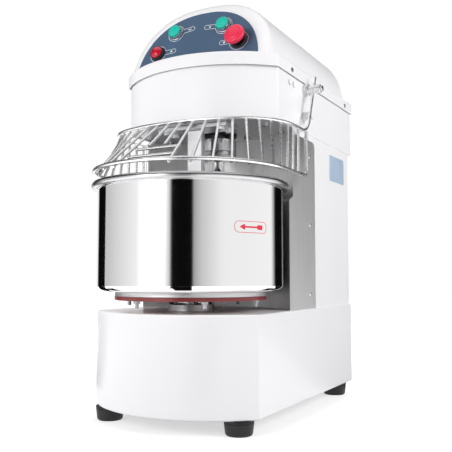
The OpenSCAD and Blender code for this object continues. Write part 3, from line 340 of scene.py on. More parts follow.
def flat_ring(bm, points, z, matrix):
    return ring(bm, [(x, y, z) for x, y in points], matrix)


def bridge(bm, low, high, closed=True):
    count = len(low)
    for k in range(count if closed else count - 1):
        n = (k + 1) % count
        bm.faces.new((low[k], low[n], high[n], high[k]))


def skin(bm, rows, around=False, closed=True):
    """Faces between each row and the next one; around joins the last row to the first."""
    for one, two in zip(rows, rows[1:] + (rows[:1] if around else [])):
        bridge(bm, one, two, closed)


def solid_rows(bm, rows, closed=True):
    """Skin with a face over its first and its last row."""
    skin(bm, rows, closed=closed)
    bm.faces.new(rows[0][::-1])
    bm.faces.new(rows[-1])


def fill(bm, *loops):
    """Flat face between an outer loop and the holes in it."""
    edges = []
    for loop in loops:
        for pair in zip(loop, loop[1:] + loop[:1]):
            edges.append(bm.edges.get(pair) or bm.edges.new(pair))
    bmesh.ops.triangle_fill(bm, use_beauty=True, edges=edges)


def lathe(bm, profile, matrix, steps=64, closed=False):
    """Turns (radius, height) points round local z. A closed profile is a loop."""
    rings = [flat_ring(bm, circle(r, steps) if r else [(0, 0)], z, matrix) for r, z in profile]
    for low, high in zip(rings, rings[1:] + (rings[:1] if closed else [])):
        for k in range(steps):
            n = (k + 1) % steps
            corners = [low[k % len(low)], low[n % len(low)], high[n % len(high)], high[k % len(high)]]
            corners = [v for j, v in enumerate(corners) if v not in corners[:j]]
            if len(corners) > 2:
                bm.faces.new(corners)


def turned(name, profile, places, steps, body, finish, slot, *nodes, closed=False, crease=35):
    """Piece with the same turned profile at each of some places."""
    bm = bmesh.new()
    for matrix in places:
        lathe(bm, profile, matrix, steps, closed)
    finish_piece(name, bm, body, finish, slot, *nodes, crease=crease)


def tube(bm, path, r, sides=18):
    """Round wire along points in metres, with rounded ends."""
    tip_steps, tip_length, tip_least = 4, 0.6, 0.05
    last = len(path) - 1
    ways = [(path[min(k + 1, last)] - path[max(k - 1, 0)]).normalized() for k in range(last + 1)]
    side = ways[0].orthogonal().normalized()
    turns = quarter(tip_steps)
    tips = [(r * tip_length * (1 - sin(a)), max(tip_least * r, r * sin(a))) for a in turns]
    spots = [(path[0] + ways[0] * reach, ways[0], radius) for reach, radius in tips[:-1]]
    spots += [(point, way, r) for point, way in zip(path[1:-1], ways[1:-1])]
    spots += [(path[-1] - ways[-1] * reach, ways[-1], radius) for reach, radius in reversed(tips)]
    rings = []
    for centre, way, radius in spots:
        side = (side - way * side.dot(way)).normalized()
        other = way.cross(side)
        rings.append(ring(bm, [centre + side * x + other * y for x, y in circle(radius, sides)]))
    solid_rows(bm, rings)


# Node trees for what repeats

ROD_SIDES = 14


def node_tree(name, *inputs):
    """Geometry tree; gives the keys of its inputs and the outputs of its first node too."""
    tree = bpy.data.node_groups.new(name, "GeometryNodeTree")
    keys = {}
    for label, kind in (("Geometry", "Geometry"), *inputs, ("Finish", "Material")):
        socket = tree.interface.new_socket(label, in_out="INPUT", socket_type="NodeSocket" + kind)
        keys[label] = socket.identifier
    tree.interface.new_socket("Geometry", in_out="OUTPUT", socket_type="NodeSocketGeometry")
    return tree, keys, tree.nodes.new("NodeGroupInput").outputs


def end_tree(tree, made, finish):
    real = add_node(tree, "GeometryNodeRealizeInstances", {"Geometry": made.outputs[0]})
    paint = add_node(tree, "GeometryNodeSetMaterial", {"Geometry": real.outputs[0], "Material": finish})
    add_node(tree, "NodeGroupOutput", {"Geometry": paint.outputs[0]})


rod_tree, ROD_KEYS, rod_in = node_tree("straight_rods", ("Radius", "Float"))
rod_curve = add_node(rod_tree, "GeometryNodeMeshToCurve", {"Mesh": rod_in["Geometry"]})
rod_section = add_node(rod_tree, "GeometryNodeCurvePrimitiveCircle", {
    "Radius": rod_in["Radius"], "Resolution": ROD_SIDES})
rod_mesh = add_node(rod_tree, "GeometryNodeCurveToMesh", {
    "Curve": rod_curve.outputs[0], "Profile Curve": rod_section.outputs["Curve"], "Fill Caps": True})
end_tree(rod_tree, rod_mesh, rod_in["Finish"])

set_tree, SET_KEYS, set_in = node_tree("set_of_fasteners", ("Fastener", "Object"), ("Size", "Float"))
set_one = add_node(set_tree, "GeometryNodeObjectInfo", {"Object": set_in["Fastener"]})
set_aim = add_node(set_tree, "GeometryNodeInputNamedAttribute", {"Name": "aim"}, data_type="FLOAT_VECTOR")
set_turn = add_node(set_tree, "FunctionNodeAlignRotationToVector", {
    "Vector": set_aim.outputs["Attribute"]}, axis="Z")
set_copies = add_node(set_tree, "GeometryNodeInstanceOnPoints", {
    "Points": set_in["Geometry"], "Instance": set_one.outputs["Geometry"],
    "Rotation": set_turn.outputs["Rotation"], "Scale": set_in["Size"]})
end_tree(set_tree, set_copies, set_in["Finish"])


def grown(name, mesh, tree, keys, **values):
    """Mesh that a node tree makes from a mesh of points or edges."""
    obj = new_object(name + "_plan", mesh)
    grow = obj.modifiers.new("grow", "NODES")
    grow.node_group = tree
    for label, value in values.items():
        grow[keys[label]] = value
    return evaluated(obj, name)


def rods(name, lines, r, body, finish, slot, *nodes):
    """Straight rods between pairs of points."""
    mesh = bpy.data.meshes.new(name + "_lines")
    pairs = [(2 * k, 2 * k + 1) for k in range(len(lines))]
    mesh.from_pydata([p for line in lines for p in line], pairs, [])
    made = grown(name, mesh, rod_tree, ROD_KEYS, Radius=r * MM, Finish=finish)
    settle(name, made, body, finish, slot, *nodes)


def fasteners(name, head, spots, body, finish, slot, *nodes, size=1.0, crease=35):
    """Copies of one template at (place, direction) pairs."""
    mesh = bpy.data.meshes.new(name + "_spots")
    mesh.from_pydata([spot for spot, aim in spots], [], [])
    aims = mesh.attributes.new("aim", "FLOAT_VECTOR", "POINT")
    for k, (spot, aim) in enumerate(spots):
        aims.data[k].vector = aim
    made = grown(name, mesh, set_tree, SET_KEYS, Fastener=head, Size=size, Finish=finish)
    settle(name, made, body, finish, slot, *nodes, crease=crease)


def template(name, profile, steps=32, cross=None):
    """Turned fastener at the origin, in millimetres; cross is the half length of its cross slot."""
    slot_width, slot_height, slot_lift = 0.9, 2, 0.1
    bm = bmesh.new()
    lathe(bm, profile, Matrix.Scale(MM, 4), steps)
    bmesh.ops.recalc_face_normals(bm, faces=bm.faces)
    obj = new_object(name, mesh_of(name, bm))
    if cross:
        bm = bmesh.new()
        top = max(z for r, z in profile)
        size = Matrix.Diagonal((2 * cross * MM, slot_width * MM, slot_height * MM, 1))
        lift = Matrix.Translation((0, 0, (top + slot_lift) * MM))
        for a in (0, pi / 2):
            bmesh.ops.create_cube(bm, size=1, matrix=lift @ Matrix.Rotation(a, 4, "Z") @ size)
        cutter = new_object(name + "_slot", mesh_of(name + "_slot", bm))
        cut = obj.modifiers.new("cross", "BOOLEAN")
        cut.operation = "DIFFERENCE"
        cut.solver = "EXACT"
        cut.use_self = True
        cut.object = cutter
        mesh = evaluated(obj, name)
        bpy.data.objects.remove(cutter)
        obj = new_object(name, mesh)
    return obj


# Sheet metal housings

# Plans as width, u of the front's corners, u of the back and bow of the front
BASE_PLAN = (352, -65, 452, 74)
HEAD_PLAN = (342, 34, 475, 76)
HEAD_HOLE_PLAN = (342, 34, 455, 76)
LIP_PLAN = (350, 30, 478, 77)
# Width of the flat strip that a rounded edge runs into
HOLD = 3.0


def outline(w, corner, back, sag, inset):
    """Plan of a housing: bowed front, straight sides and back, rounded upright edges."""
    bow_steps, turn_steps = 24, 6
    fillet, back_fillet, least = 5.0, 4.0, 0.4
    r = (w * w / 4 + sag * sag) / (2 * sag)
    mid = corner - sag + r
    big, hw, end = r - inset, w / 2 - inset, back - inset
    f, g = max(fillet - inset, least), max(back_fillet - inset, least)
    cx = hw - f
    cy = mid - sqrt((big - f) ** 2 - cx * cx)
    alpha = atan2(cx, mid - cy)
    bow = [alpha * k / bow_steps for k in range(bow_steps)] + [alpha - HOLD / big]
    turn = [alpha + (pi / 2 - alpha) * k / turn_steps for k in range(turn_steps + 1)]
    right = [(big * sin(a), mid - big * cos(a)) for a in bow]
    right += [(cx + f * sin(a), cy - f * cos(a)) for a in turn]
    right += [(hw, cy + HOLD), (hw, end - g - HOLD)]
    right += [(hw - g + g * cos(a), end - g + g * sin(a)) for a in quarter(turn_steps)]
    right.append((hw - g - HOLD, end))
    return right + [(-x, u) for x, u in right[:0:-1]]


def housing_rings(bm, levels, plan):
    """One ring for each (inset, height), joined in turn."""
    rings = [ring(bm, [at(x, u, z) for x, u in outline(*plan, inset)]) for inset, z in levels]
    skin(bm, rings)
    return rings


def edge_levels(low, high, r_low, r_high):
    """(inset, height) of a wall with rounded lower and upper edges."""
    turns = quarter(5)
    rows = [(r_low + HOLD, low)]
    rows += [(r_low - r_low * sin(a), low + r_low - r_low * cos(a)) for a in turns]
    rows += [(0, low + r_low + HOLD), (0, high - r_high - HOLD)]
    rows += [(r_high - r_high * cos(a), high - r_high + r_high * sin(a)) for a in turns]
    return rows + [(r_high + HOLD, high)]


def base_shell():
    low, high, deck, sheet, flange = 27, 207, 204, 2, 45
    hub_hole = circle(33.2, 48)
    belt_hole = [(-100, 215), (100, 215), (100, 430), (-100, 430)]
    bm = bmesh.new()
    inner = [(flange, low + sheet), (flange, low)]
    rings = housing_rings(bm, inner + edge_levels(low, high, 2.5, 3.0), BASE_PLAN)
    under = housing_rings(bm, [(sheet, deck), (sheet, low + sheet)], BASE_PLAN)
    bridge(bm, under[-1], rings[0])
    decks = []
    for z, border in ((high, rings[-1]), (deck, under[0])):
        holes = [ring(bm, [at(x, u, z) for x, u in loop]) for loop in (hub_hole, belt_hole)]
        fill(bm, border, *holes)
        decks.append(holes)
    for top, bottom in zip(*decks):
        bridge(bm, top, bottom)
    finish_piece("base_shell", bm, "root", white_paint, "white_paint", "base_housing")


def head_shell():
    low, high, sheet, flange = 569, 696, 2, 10
    bm = bmesh.new()
    inner = housing_rings(bm, [(flange, low + sheet), (flange, low)], HEAD_HOLE_PLAN)
    levels = edge_levels(low, high, 2.5, 0.8)[:-1] + [(sheet, high), (sheet, low + sheet)]
    outer = housing_rings(bm, levels, HEAD_PLAN)
    bridge(bm, inner[-1], outer[0])
    bridge(bm, outer[-1], inner[0])
    finish_piece("head_shell", bm, "root", white_paint, "white_paint", "head_housing")


def dome_ring(bm, r, station, floor):
    """Squared arch over the dome's axis from foot to foot; station gives u for a height."""
    axis_z, power, steps = 671.0, 2.44, 72
    start = asin(((floor - axis_z) / r) ** (power / 2))
    verts = []
    for k in range(steps + 1):
        a = start + (pi - 2 * start) * k / steps
        across = copysign(r * abs(cos(a)) ** (2 / power), cos(a))
        z = axis_z + r * sin(a) ** (2 / power)
        verts.append(bm.verts.new(at(across, station(z), z)))
    return verts


def dome(bm, inset, floor):
    """Arched cover with a leaning front face and rounded edges; gives the loop of its foot."""
    r, edge, rear, back = 162.0 - inset, 20.0 - inset, 12.0 - inset, 466.0 - inset
    taper, straight = 1.5, 4.0
    slope = tan(PANEL_TILT)
    face = PANEL_U + inset / cos(PANEL_TILT)

    def lean(shift):
        return lambda z: face + shift + (z - PANEL_Z) * slope

    def flat(u):
        return lambda z: u

    turns = quarter(8)
    end_r = r - taper
    rows = [(r - edge - HOLD, lean(0))]
    rows += [(r - edge * (1 - sin(a)), lean(edge * (1 - cos(a)))) for a in turns]
    rows += [(r, lean(edge + HOLD)), (r, flat(face + edge + slope * r))]
    rows.append((end_r, flat(back - rear - straight)))
    rows += [(end_r - rear * (1 - cos(a)), flat(back - rear * (1 - sin(a)))) for a in turns]
    rows.append((end_r - rear - HOLD, flat(back)))
    rings = [dome_ring(bm, radius, station, floor) for radius, station in rows]
    solid_rows(bm, rings, closed=False)
    return [row[0] for row in rings] + [row[-1] for row in reversed(rings)]


def cover_shell():
    low, high, wall, sheet = 672, 698, 1.5, 2
    plate = high - sheet
    bm = bmesh.new()
    levels = [(wall, low)] + edge_levels(low, high, 0.7, 4.0)[1:]
    outer = housing_rings(bm, levels, LIP_PLAN)
    fill(bm, outer[-1], dome(bm, 0, high))
    inner = housing_rings(bm, [(wall, low), (wall, plate)], LIP_PLAN)
    fill(bm, inner[-1], dome(bm, sheet, plate))
    finish_piece("cover_shell", bm, "root", white_paint, "white_paint", "top_cover")


def hollow_lip():
    """Folded lip that closes the seam between the steel hollow and the head's floor."""
    half_turn, steps = 51.5, 48
    section = ((200.6, 568.7), (201.9, 568.7), (201.9, 571.0), (200.6, 571.0))
    bm = bmesh.new()
    plan = arc(0, 0, 1, 90 - half_turn, 90 + half_turn, steps)
    solid_rows(bm, [ring(bm, [(r * x, r * u, z) for r, z in section], place()) for x, u in plan])
    finish_piece("hollow_lip", bm, "root", cover_steel, "stainless_sheet")


base_shell()
head_shell()
cover_shell()
softened("column_shell", "column_housing", "root", white_paint, "white_paint", 0.8)
softened("rear_panel", "rear_cover", "root", white_paint, "white_paint", 0.5)
softened("steel_front", "column_front_cover", "root", cover_steel, "stainless_sheet", 0.4)
softened("head_floor", "head_under_plate", "root", plate_steel, "stainless_sheet", 0.5)
hollow_lip()
softened("breaker", "breaker_bar", "root", plate_steel, "stainless_sheet", 2.0, 3)
softened("spindle_housing", "spindle_hub", "root", hub_steel, "stainless_sheet", 0.8)
softened("gland", "cable_gland", "root", black_plastic, "black_plastic", 0.5)

FOOT = [(0, 5), (8.4, 5), (9, 4.4), (9, 0.6), (9.6, 0), (22, 0), (23, 0.9), (24.4, 3), (26.2, 18),
        (26.6, 21.5), (25.9, 22), (25.9, 22.8), (26.9, 23.4), (27, 26), (26.2, 27), (0, 27)]
FOOT_PLACES = [place(*spot) for spot in ((-139, -68), (139, -68), (-148, 403), (148, 403))]
turned("foot_pads", FOOT, FOOT_PLACES, 56, "root", foot_rubber, "black_rubber", "feet", crease=50)


# Bowl and what carries it

RIM_R, RIM_Z, RIM_ROLL_R = 185.5, 445.0, 6.5
SIGN_TURN, SIGN_Z = radians(-22.8), 359.0
SIGN_LIFT, SIGN_DEPTH = 0.12, 0.16


def bowl_profile():
    """Spun wall and floor; the rolled rim closes the top of the wall."""
    corner, wall, bottom, middle, top, hold = 12.0, 1.5, 245.0, 350.0, 443.0, 4.0
    inside, base = BOWL_R - wall, BOWL_R - corner
    start = bottom + corner
    profile = [(0, bottom), (base * 0.5, bottom), (base - HOLD, bottom)]
    profile += arc(base, start, corner, -90, 0, 14)
    profile += [(BOWL_R, start + hold), (BOWL_R, middle), (BOWL_R, top), (inside, top)]
    profile += [(inside, middle), (inside, start + hold)]
    profile += arc(base, start, corner - wall, 0, -90, 12)
    floor = bottom + wall
    return profile + [(base - HOLD, floor), (base * 0.5, floor), (0, floor)]


turned("bowl_shell", bowl_profile(), [place()], 256, "bowl_unit", bowl_steel, "polished_steel",
       "bowl", crease=50)
turned("bowl_rim", arc(RIM_R, RIM_Z, RIM_ROLL_R, 0, 345, 23), [place()], 256, "bowl_unit",
       rim_steel, "polished_steel", closed=True, crease=50)
BOWL_FOOT = [(99.5, 236), (144.7, 236), (145.5, 236.8), (145.5, 243.6), (144.6, 245), (99.5, 245)]
turned("bowl_foot", BOWL_FOOT, [place()], 160, "bowl_unit", hub_steel, "stainless_sheet",
       "bowl_foot_ring", closed=True)
softened("carrier_disc", "bowl_carrier", "bowl_unit", red_paint, "red_paint", 0.9)


def rounded_box(w, h, r, steps=8, along=24):
    """Points of a rounded rectangle, with many on its long sides."""
    points = []
    x, y = w / 2 - r, h / 2 - r
    for cx, cy, start in ((x, y, 0), (-x, y, 90), (-x, -y, 180), (x, -y, 270)):
        points += arc(cx, cy, r, start, start + 90, steps)
        if start in (0, 180):
            points += [(cx * (1 - 2 * k / along), copysign(h / 2, cy)) for k in range(1, along)]
    return points


def wrap(s, z):
    """Point just off the bowl's wall: s along it and z up from the sign's middle."""
    a, r = SIGN_TURN + s / BOWL_R, BOWL_R + SIGN_LIFT
    return at(r * cos(a), r * sin(a), SIGN_Z + z)


def sunk(p):
    """The same point a little inside the wall."""
    return p - Vector((p.x, p.y - BOWL_Y * MM, 0)).normalized() * SIGN_DEPTH * MM


def bowl_sign():
    """Turning arrow in a rounded frame."""
    length, height, corner, line = 74, 20.5, 8, 2.0
    bm = bmesh.new()
    outer, inner = ([wrap(s, z) for s, z in rounded_box(length - d, height - d, corner - d / 2)]
                    for d in (0, line))
    rows = (outer, inner, [sunk(p) for p in inner], [sunk(p) for p in outer])
    skin(bm, [ring(bm, row) for row in rows], around=True)
    upper = [(-27, 0.01), (-22, 2.6), (-17, 5.2), (-15.5, 4.4), (-16, 1.5), (-8, 1.5), (0, 1.5),
             (8, 1.5), (12, 1.5), (14, 4.2), (18, 4.2), (22, 4.2), (26, 4.2), (23.5, 0.01)]
    rows = [[wrap(s, side * z) for s, z in upper] for side in (1, -1)]
    low_rows = [[sunk(p) for p in row] for row in rows]
    for one, two in (rows, low_rows, *zip(rows, low_rows)):
        bridge(bm, ring(bm, one), ring(bm, two), closed=False)
    finish_piece("bowl_sign", bm, "bowl_unit", sign_red, "red_paint", crease=0)


bowl_sign()


# Spiral hook

HOOK_TURNS, HOOK_R, HOOK_BAR_R = 1.6, 52.0, 10.0
HOOK_TOP, HOOK_LOW, HOOK_POWER = 492.0, 263.0, 1.25
# Shares of the hook's length at which it reaches its radius, draws in and rounds off
HOOK_OUT, HOOK_IN, HOOK_TIP = 0.24, 0.84, 0.97


def ease(t):
    return t * t * (3 - 2 * t)


def hook_angle(t):
    return radians(90 - 360 * HOOK_TURNS * t)


def hook_point(t):
    a = hook_angle(t)
    drawn_in = 1 - 0.5 * ease(max(0, (t - HOOK_IN) / (1 - HOOK_IN)))
    radius = HOOK_R * ease(min(1, t / HOOK_OUT)) * drawn_in
    z = HOOK_TOP - (HOOK_TOP - HOOK_LOW) * (1 - (1 - t) ** HOOK_POWER)
    return Vector((radius * cos(a), radius * sin(a), z))


def hook_spiral():
    count, sides, near, least = 280, 28, 0.002, 0.004
    bm = bmesh.new()
    matrix = place(0, HOOK_U, 0)
    rings = []
    for j in range(count + 1):
        t = j / count
        way = (hook_point(min(1, t + near)) - hook_point(max(0, t - near))).normalized()
        out = Vector((cos(hook_angle(t)), sin(hook_angle(t)), 0))
        n = (out - way * out.dot(way)).normalized()
        b = way.cross(n)
        past = max(0, (t - HOOK_TIP) / (1 - HOOK_TIP))
        r = HOOK_BAR_R * sqrt(max(least, 1 - past * past))
        rings.append(ring(bm, [hook_point(t) + n * x + b * y for x, y in circle(r, sides)], matrix))
    solid_rows(bm, rings)
    neck = [(0, 478), (9, 478), (12.5, 482), (12.5, 509), (13.5, 514), (16, 517.4), (18, 518.2),
            (0, 518.2)]
    lathe(bm, neck, matrix, 72)
    finish_piece("hook_spiral", bm, "hook_unit", hook_steel, "polished_steel", "spiral_hook", crease=50)
    flange = [(0, 518), (36.5, 518), (38, 519.5), (38, 530.5), (37, 532), (0, 532)]
    turned("hook_flange", flange, [matrix], 72, "hook_unit", coupling_steel, "polished_steel")


hook_spiral()
softened("hook_drive", "hook_spindle", "hook_unit", coupling_steel, "stainless_sheet", 1.0)


# Wire guard


class Hoop:
    """Bent wire of the guard: a bowed front, round corners and straight sides.

    crowd moves the bars along it, toward the back.
    """

    def __init__(self, front, z, crowd, bow, corner, wire):
        self.front, self.z, self.crowd = front, z, crowd
        self.bow, self.corner, self.wire = bow, corner, wire
        self.turn = asin((GUARD_R - corner) / (bow - corner)) if bow > corner else 0.0
        self.mid = front + bow - (bow - corner) * cos(self.turn)
        self.bow_length = bow * self.turn
        self.round_length = self.bow_length + corner * (pi / 2 - self.turn)

    def at(self, a):
        """Point at an angle from the front."""
        if abs(a) < self.turn:
            return Vector((self.bow * sin(a), self.front + self.bow * (1 - cos(a)), self.z))
        side = copysign(GUARD_R - self.corner, a)
        return Vector((side + self.corner * sin(a), self.mid - self.corner * cos(a), self.z))

    def run(self, i):
        """Length from the front to wire space i."""
        f = abs(i) / GUARD_SPACES
        share = f + self.crowd * f * (1 - f)
        return share * (self.round_length + GUARD_END_U - self.mid)

    def angle(self, i):
        run = self.run(i)
        a = run / self.bow
        if run >= self.bow_length:
            a = min(pi / 2, self.turn + (run - self.bow_length) / self.corner)
        return copysign(a, i)

    def point(self, i):
        back = max(0.0, self.run(i) - self.round_length)
        return self.at(self.angle(i)) + Vector((0, back, 0))

    def inward(self, i):
        """Direction from the wire to the bar inside it."""
        a, way = self.angle(i), bar_way(i)
        out = Vector((sin(a), -cos(a), 0))
        return -(out - way * out.dot(way)).normalized()

    def seat(self, i):
        """Middle of the bar where it lies against the wire."""
        return self.point(i) + (self.wire + BAR_R) * self.inward(i)

    def weld(self, i):
        return at(*(self.point(i) + self.wire * self.inward(i))), self.inward(i)


TOP_HOOP = Hoop(front=-68.0, z=563.0, crowd=0.0, bow=354.0, corner=107.0, wire=3.0)
LOW_HOOP = Hoop(front=5.0 - GUARD_R, z=473.0, crowd=0.24, bow=GUARD_R, corner=GUARD_R, wire=3.75)


def bar_way(i):
    return (LOW_HOOP.point(i) - TOP_HOOP.point(i)).normalized()


def bar_top(i):
    return TOP_HOOP.seat(i) - BAR_PAST * bar_way(i)


def bar_low(i):
    return LOW_HOOP.seat(i) + BAR_PAST * bar_way(i)


def window_end(i, t):
    return bar_top(i).lerp(bar_low(i), t) + 2 * BAR_R * LOW_HOOP.inward(i)


def window_rod(t):
    return window_end(-WINDOW_HALF, t), window_end(WINDOW_HALF, t)


def bar_end(i):
    """Lower end of a bar: the low hoop, or the upper rod of the window."""
    if abs(i) >= WINDOW_HALF:
        return bar_low(i)
    left, right = window_rod(WINDOW_RODS[0])
    spot = left.lerp(right, (i + WINDOW_HALF) / (2 * WINDOW_HALF))
    return spot - 2 * BAR_R * LOW_HOOP.inward(i) + BAR_PAST * bar_way(i)


def bend(mid_u, mid_z, r, start):
    """Bend at a hoop's side, from an angle in degrees down to level."""
    return [(GUARD_R, u, z) for u, z in arc(mid_u, mid_z, r, start, -90, 14)]


def guard_wires():
    arm_bend, arm_above, end_bend, steps = 40.0, 31.0, 12.0, 96
    lean, rise = sin(ARM_TILT), cos(ARM_TILT)
    bend_z = TOP_HOOP.z + arm_bend
    below = (PIVOT_Z - bend_z + arm_bend * lean) / rise
    bend_u = PIVOT_U - below * lean - arm_bend * rise
    past = GUARD_END_U - LOW_HOOP.wire - bend_u
    end_top = bend_z - sqrt((arm_bend + TOP_HOOP.wire) ** 2 - past ** 2)
    arm = [(GUARD_R, PIVOT_U + arm_above * lean, PIVOT_Z + arm_above * rise)]
    arm += bend(bend_u, bend_z, arm_bend, -degrees(ARM_TILT))
    end = [(GUARD_R, GUARD_END_U, end_top)]
    end += bend(GUARD_END_U - end_bend, LOW_HOOP.z + end_bend, end_bend, 0.0)
    bm = bmesh.new()
    for side, hoop in ((arm, TOP_HOOP), (end, LOW_HOOP)):
        bow = [hoop.at(pi / 2 - pi * k / steps) for k in range(steps + 1)]
        points = side + bow + [(-x, u, z) for x, u, z in reversed(side)]
        tube(bm, [at(*p) for p in points], hoop.wire * MM)
    finish_piece("guard_wires", bm, "guard", wire_steel, "stainless_sheet", "guard_frame", crease=60)


BAR_RANGE = [k + 0.5 for k in range(-12, 12)]
guard_wires()
bar_lines = [(bar_top(i), bar_end(i)) for i in BAR_RANGE] + [window_rod(t) for t in WINDOW_RODS]
bar_lines = [(at(*one), at(*two)) for one, two in bar_lines]
rods("guard_rods", bar_lines, BAR_R, "guard", wire_steel, "stainless_sheet", "guard_bars")

BEAD = [(0, -1.5), (1.2, -1.2), (2.1, -0.4), (2.2, 0.4), (1.4, 1.2), (0, 1.5)]
bead = template("weld_bead", BEAD, 12)
weld_spots = []
for i in BAR_RANGE:
    weld_spots.append(TOP_HOOP.weld(i))
    if abs(i) >= WINDOW_HALF:
        weld_spots.append(LOW_HOOP.weld(i))
fasteners("guard_welds", bead, weld_spots, "guard", wire_steel, "stainless_sheet", crease=60)

STUD = [(0, 146), (8, 146), (8.5, 146.6), (8.5, 177.5), (10.4, 177.5), (11, 178.1), (11, 180.9),
        (10.4, 181.5), (8.5, 181.6), (8.5, 206), (7.5, 207), (0, 207)]
STUD_CAP = [(0, 204), (2.5, 204), (2.5, 207), (5.4, 207), (6, 207.6), (6, 210), (5.2, 211),
            (3, 211), (2.8, 208.6), (0, 208.6)]
BUSH = [(8.55, 161), (11, 161), (11, 171), (11.8, 171), (12.5, 171.7), (12.5, 176.2), (11.6, 177),
        (8.55, 177)]
STOP_PIN = [(0, 163), (4, 163), (4, 171), (8.4, 171), (9, 171.6), (9, 191.6), (7.8, 193), (0, 193)]
pivots = [on_side(side, PIVOT_U, PIVOT_Z) for side in SIDES]
stops = [on_side(side, STOP_U, STOP_Z) for side in SIDES]
turned("pivot_studs", STUD, pivots, 48, "guard", zinc_steel, "zinc_steel", "guard_pivots")
turned("pivot_caps", STUD_CAP, pivots, 36, "guard", zinc_steel, "zinc_steel", "pivot_screws")
turned("pivot_rings", BUSH, pivots, 48, "root", white_paint, "zinc_steel", "pivot_bushes", closed=True)
turned("stop_pins", STOP_PIN, stops, 48, "root", white_paint, "white_paint", "guard_stops")


# Screws and bolts

HEX_STEPS = 6
PAN = [(0, -5), (1.9, -5), (1.9, 0), (4.4, 0), (4.5, 0.3), (4.1, 1.2), (3, 1.75), (1.5, 2), (0, 2)]
HEX = [(0, -6), (3, -6), (6.6, -5.4), (7, -4.8), (7, 0), (4, 0), (4, 7.5), (0, 7.5)]
CARRIER = [(0, -13), (3.4, -13), (4, -12.4), (4, -5), (6.4, -5), (7, -4.5), (7, 0), (4, 0),
           (4, 13), (0, 13)]
HOOK = [(0, -7), (6.4, -7), (7, -6.4), (7, 0), (4, 0), (4, 26), (0, 26)]
PLUG = [(0, -5), (4.4, -5), (4.4, 0.35), (5.1, 0.35), (5.2, 0.6), (4.8, 1.5), (3.4, 1.9), (0, 2)]
# Thin dark ring under each plug's edge: a painted shadow in the gap between the plug and the head
PLUG_SHADOW_RING = [(0, 0), (5.8, 0), (6, 0.1), (6, 0.35), (0, 0.35)]
pan_head = template("pan_head", PAN, cross=2.6)
hex_head = template("hex_head", HEX, HEX_STEPS)
carrier_head = template("carrier_head", CARRIER, HEX_STEPS)
hook_head = template("hook_head", HOOK, HEX_STEPS)
plug_head = template("plug_head", PLUG)
plug_rim = template("plug_rim", PLUG_SHADOW_RING)


def side_spots(spots, x):
    return [(at(side * x, u, z), Vector((side, 0, 0))) for side in SIDES for u, z in spots]


def circle_spots(count, r, turn, u, z):
    return [(at(x, u + y, z), UP) for x, y in circle(r, count, turn)]


cover_spots = side_spots([(195, z) for z in (236, 380, 523)], 171.7)
cover_spots += [(at(x, 453.5, z), Vector((0, 1, 0))) for x in (-117, 117) for z in (250, 385, 520)]
lip_spots = side_spots([(95, 682), (421, 682)], LIP_HALF)
plug_spots = side_spots([(92, 657), (113, 657)], HEAD_HALF)
under_spots = circle_spots(4, 64, 45, HOOK_U, 571)
under_plan = ((-133, 57), (133, 57), (-133, 135), (133, 135), (0, -18))
under_spots += [(at(x, u, 571), UP) for x, u in under_plan]
breaker_spots = [(at(x, u, 562), UP) for x in (-62, 62) for u in (8, 40)]
carrier_spots = circle_spots(6, 129, 12, 0, 229)
hook_spots = circle_spots(4, 29, 30, HOOK_U, 518)
fasteners("cover_screws", pan_head, cover_spots, "root", zinc_steel, "zinc_steel",
          "panel_screws", crease=30)
fasteners("lip_screw_set", pan_head, lip_spots, "root", darkened_zinc, "zinc_steel",
          "lip_screws", size=1.1, crease=30)
fasteners("plug_set", plug_head, plug_spots, "root", white_paint, "white_paint", "plug_caps")
# Dark ring round each plug: painted shadow of the gap at its edge
fasteners("plug_rim_set", plug_rim, plug_spots, "root", darkened_zinc, "white_paint")
# The bolts under the head floor take the darker zinc as painted shade
fasteners("head_bolts", hex_head, under_spots, "root", darkened_zinc, "zinc_steel",
          "under_plate_bolts", crease=25)
fasteners("breaker_bolt_set", hex_head, breaker_spots, "root", zinc_steel, "zinc_steel",
          "breaker_bolts", crease=25)
# The bolts under the bowl carrier take the darker zinc as painted shade
fasteners("carrier_bolt_set", carrier_head, carrier_spots, "bowl_unit", darkened_zinc, "zinc_steel",
          "carrier_bolts", crease=25)
fasteners("hook_bolt_set", hook_head, hook_spots, "hook_unit", zinc_steel, "zinc_steel",
          "hook_bolts", crease=25)
for used in (bead, pan_head, hex_head, carrier_head, hook_head, plug_head, plug_rim):
    bpy.data.objects.remove(used)


# Control panel

softened("panel_plate", "control_panel", "root", panel_film, "panel_film", 0.4)


def bezel_profile(out, high, bore):
    low, stem, hole = 1.5, 11, 6.5
    top = low + high
    return [(hole, -16), (stem, -16), (stem, low), (out - 0.5, low), (out, low + 0.5),
            (out, low + 1.6), (out - 0.5, low + 2), (out - 0.7, low + 2.2), (out - 1.4, top - 0.7),
            (out - 1.8, top), (bore + 0.5, top), (bore, top - 0.5), (bore, low + 2), (hole, low + 2)]


BEZEL, STOP_BEZEL = bezel_profile(16.2, 9, 13.7), bezel_profile(18.2, 4, 12)
CAP = [(0, -14), (5.6, -14), (6, -13.6), (6, 8), (12.8, 8), (13.2, 8.4), (13.2, 12.1), (12.9, 12.75),
       (12.2, 13), (11.2, 12.9), (7, 12.6), (0, 12.5)]
LENS = [(0, -16), (6, -16), (6, 3.5), (12.8, 3.5), (13.2, 3.9), (13.2, 10.3), (12.6, 11.3),
        (11.2, 12.7), (9, 14.4), (6, 15.9), (3, 16.8), (0, 17)]
MUSHROOM = [(0, 19.5), (9.05, 19.5), (9.05, 14.5), (12.6, 14.5), (13.4, 14.8), (18.4, 16.7),
            (19.8, 18.4), (20.5, 20.5), (20.5, 24.1), (20, 26.1), (18.7, 27.6), (16.8, 28.6),
            (14.4, 29), (13.8, 28.9), (13.4, 28.4), (12.8, 28.4), (12.3, 29), (8, 29.3), (0, 29.5)]
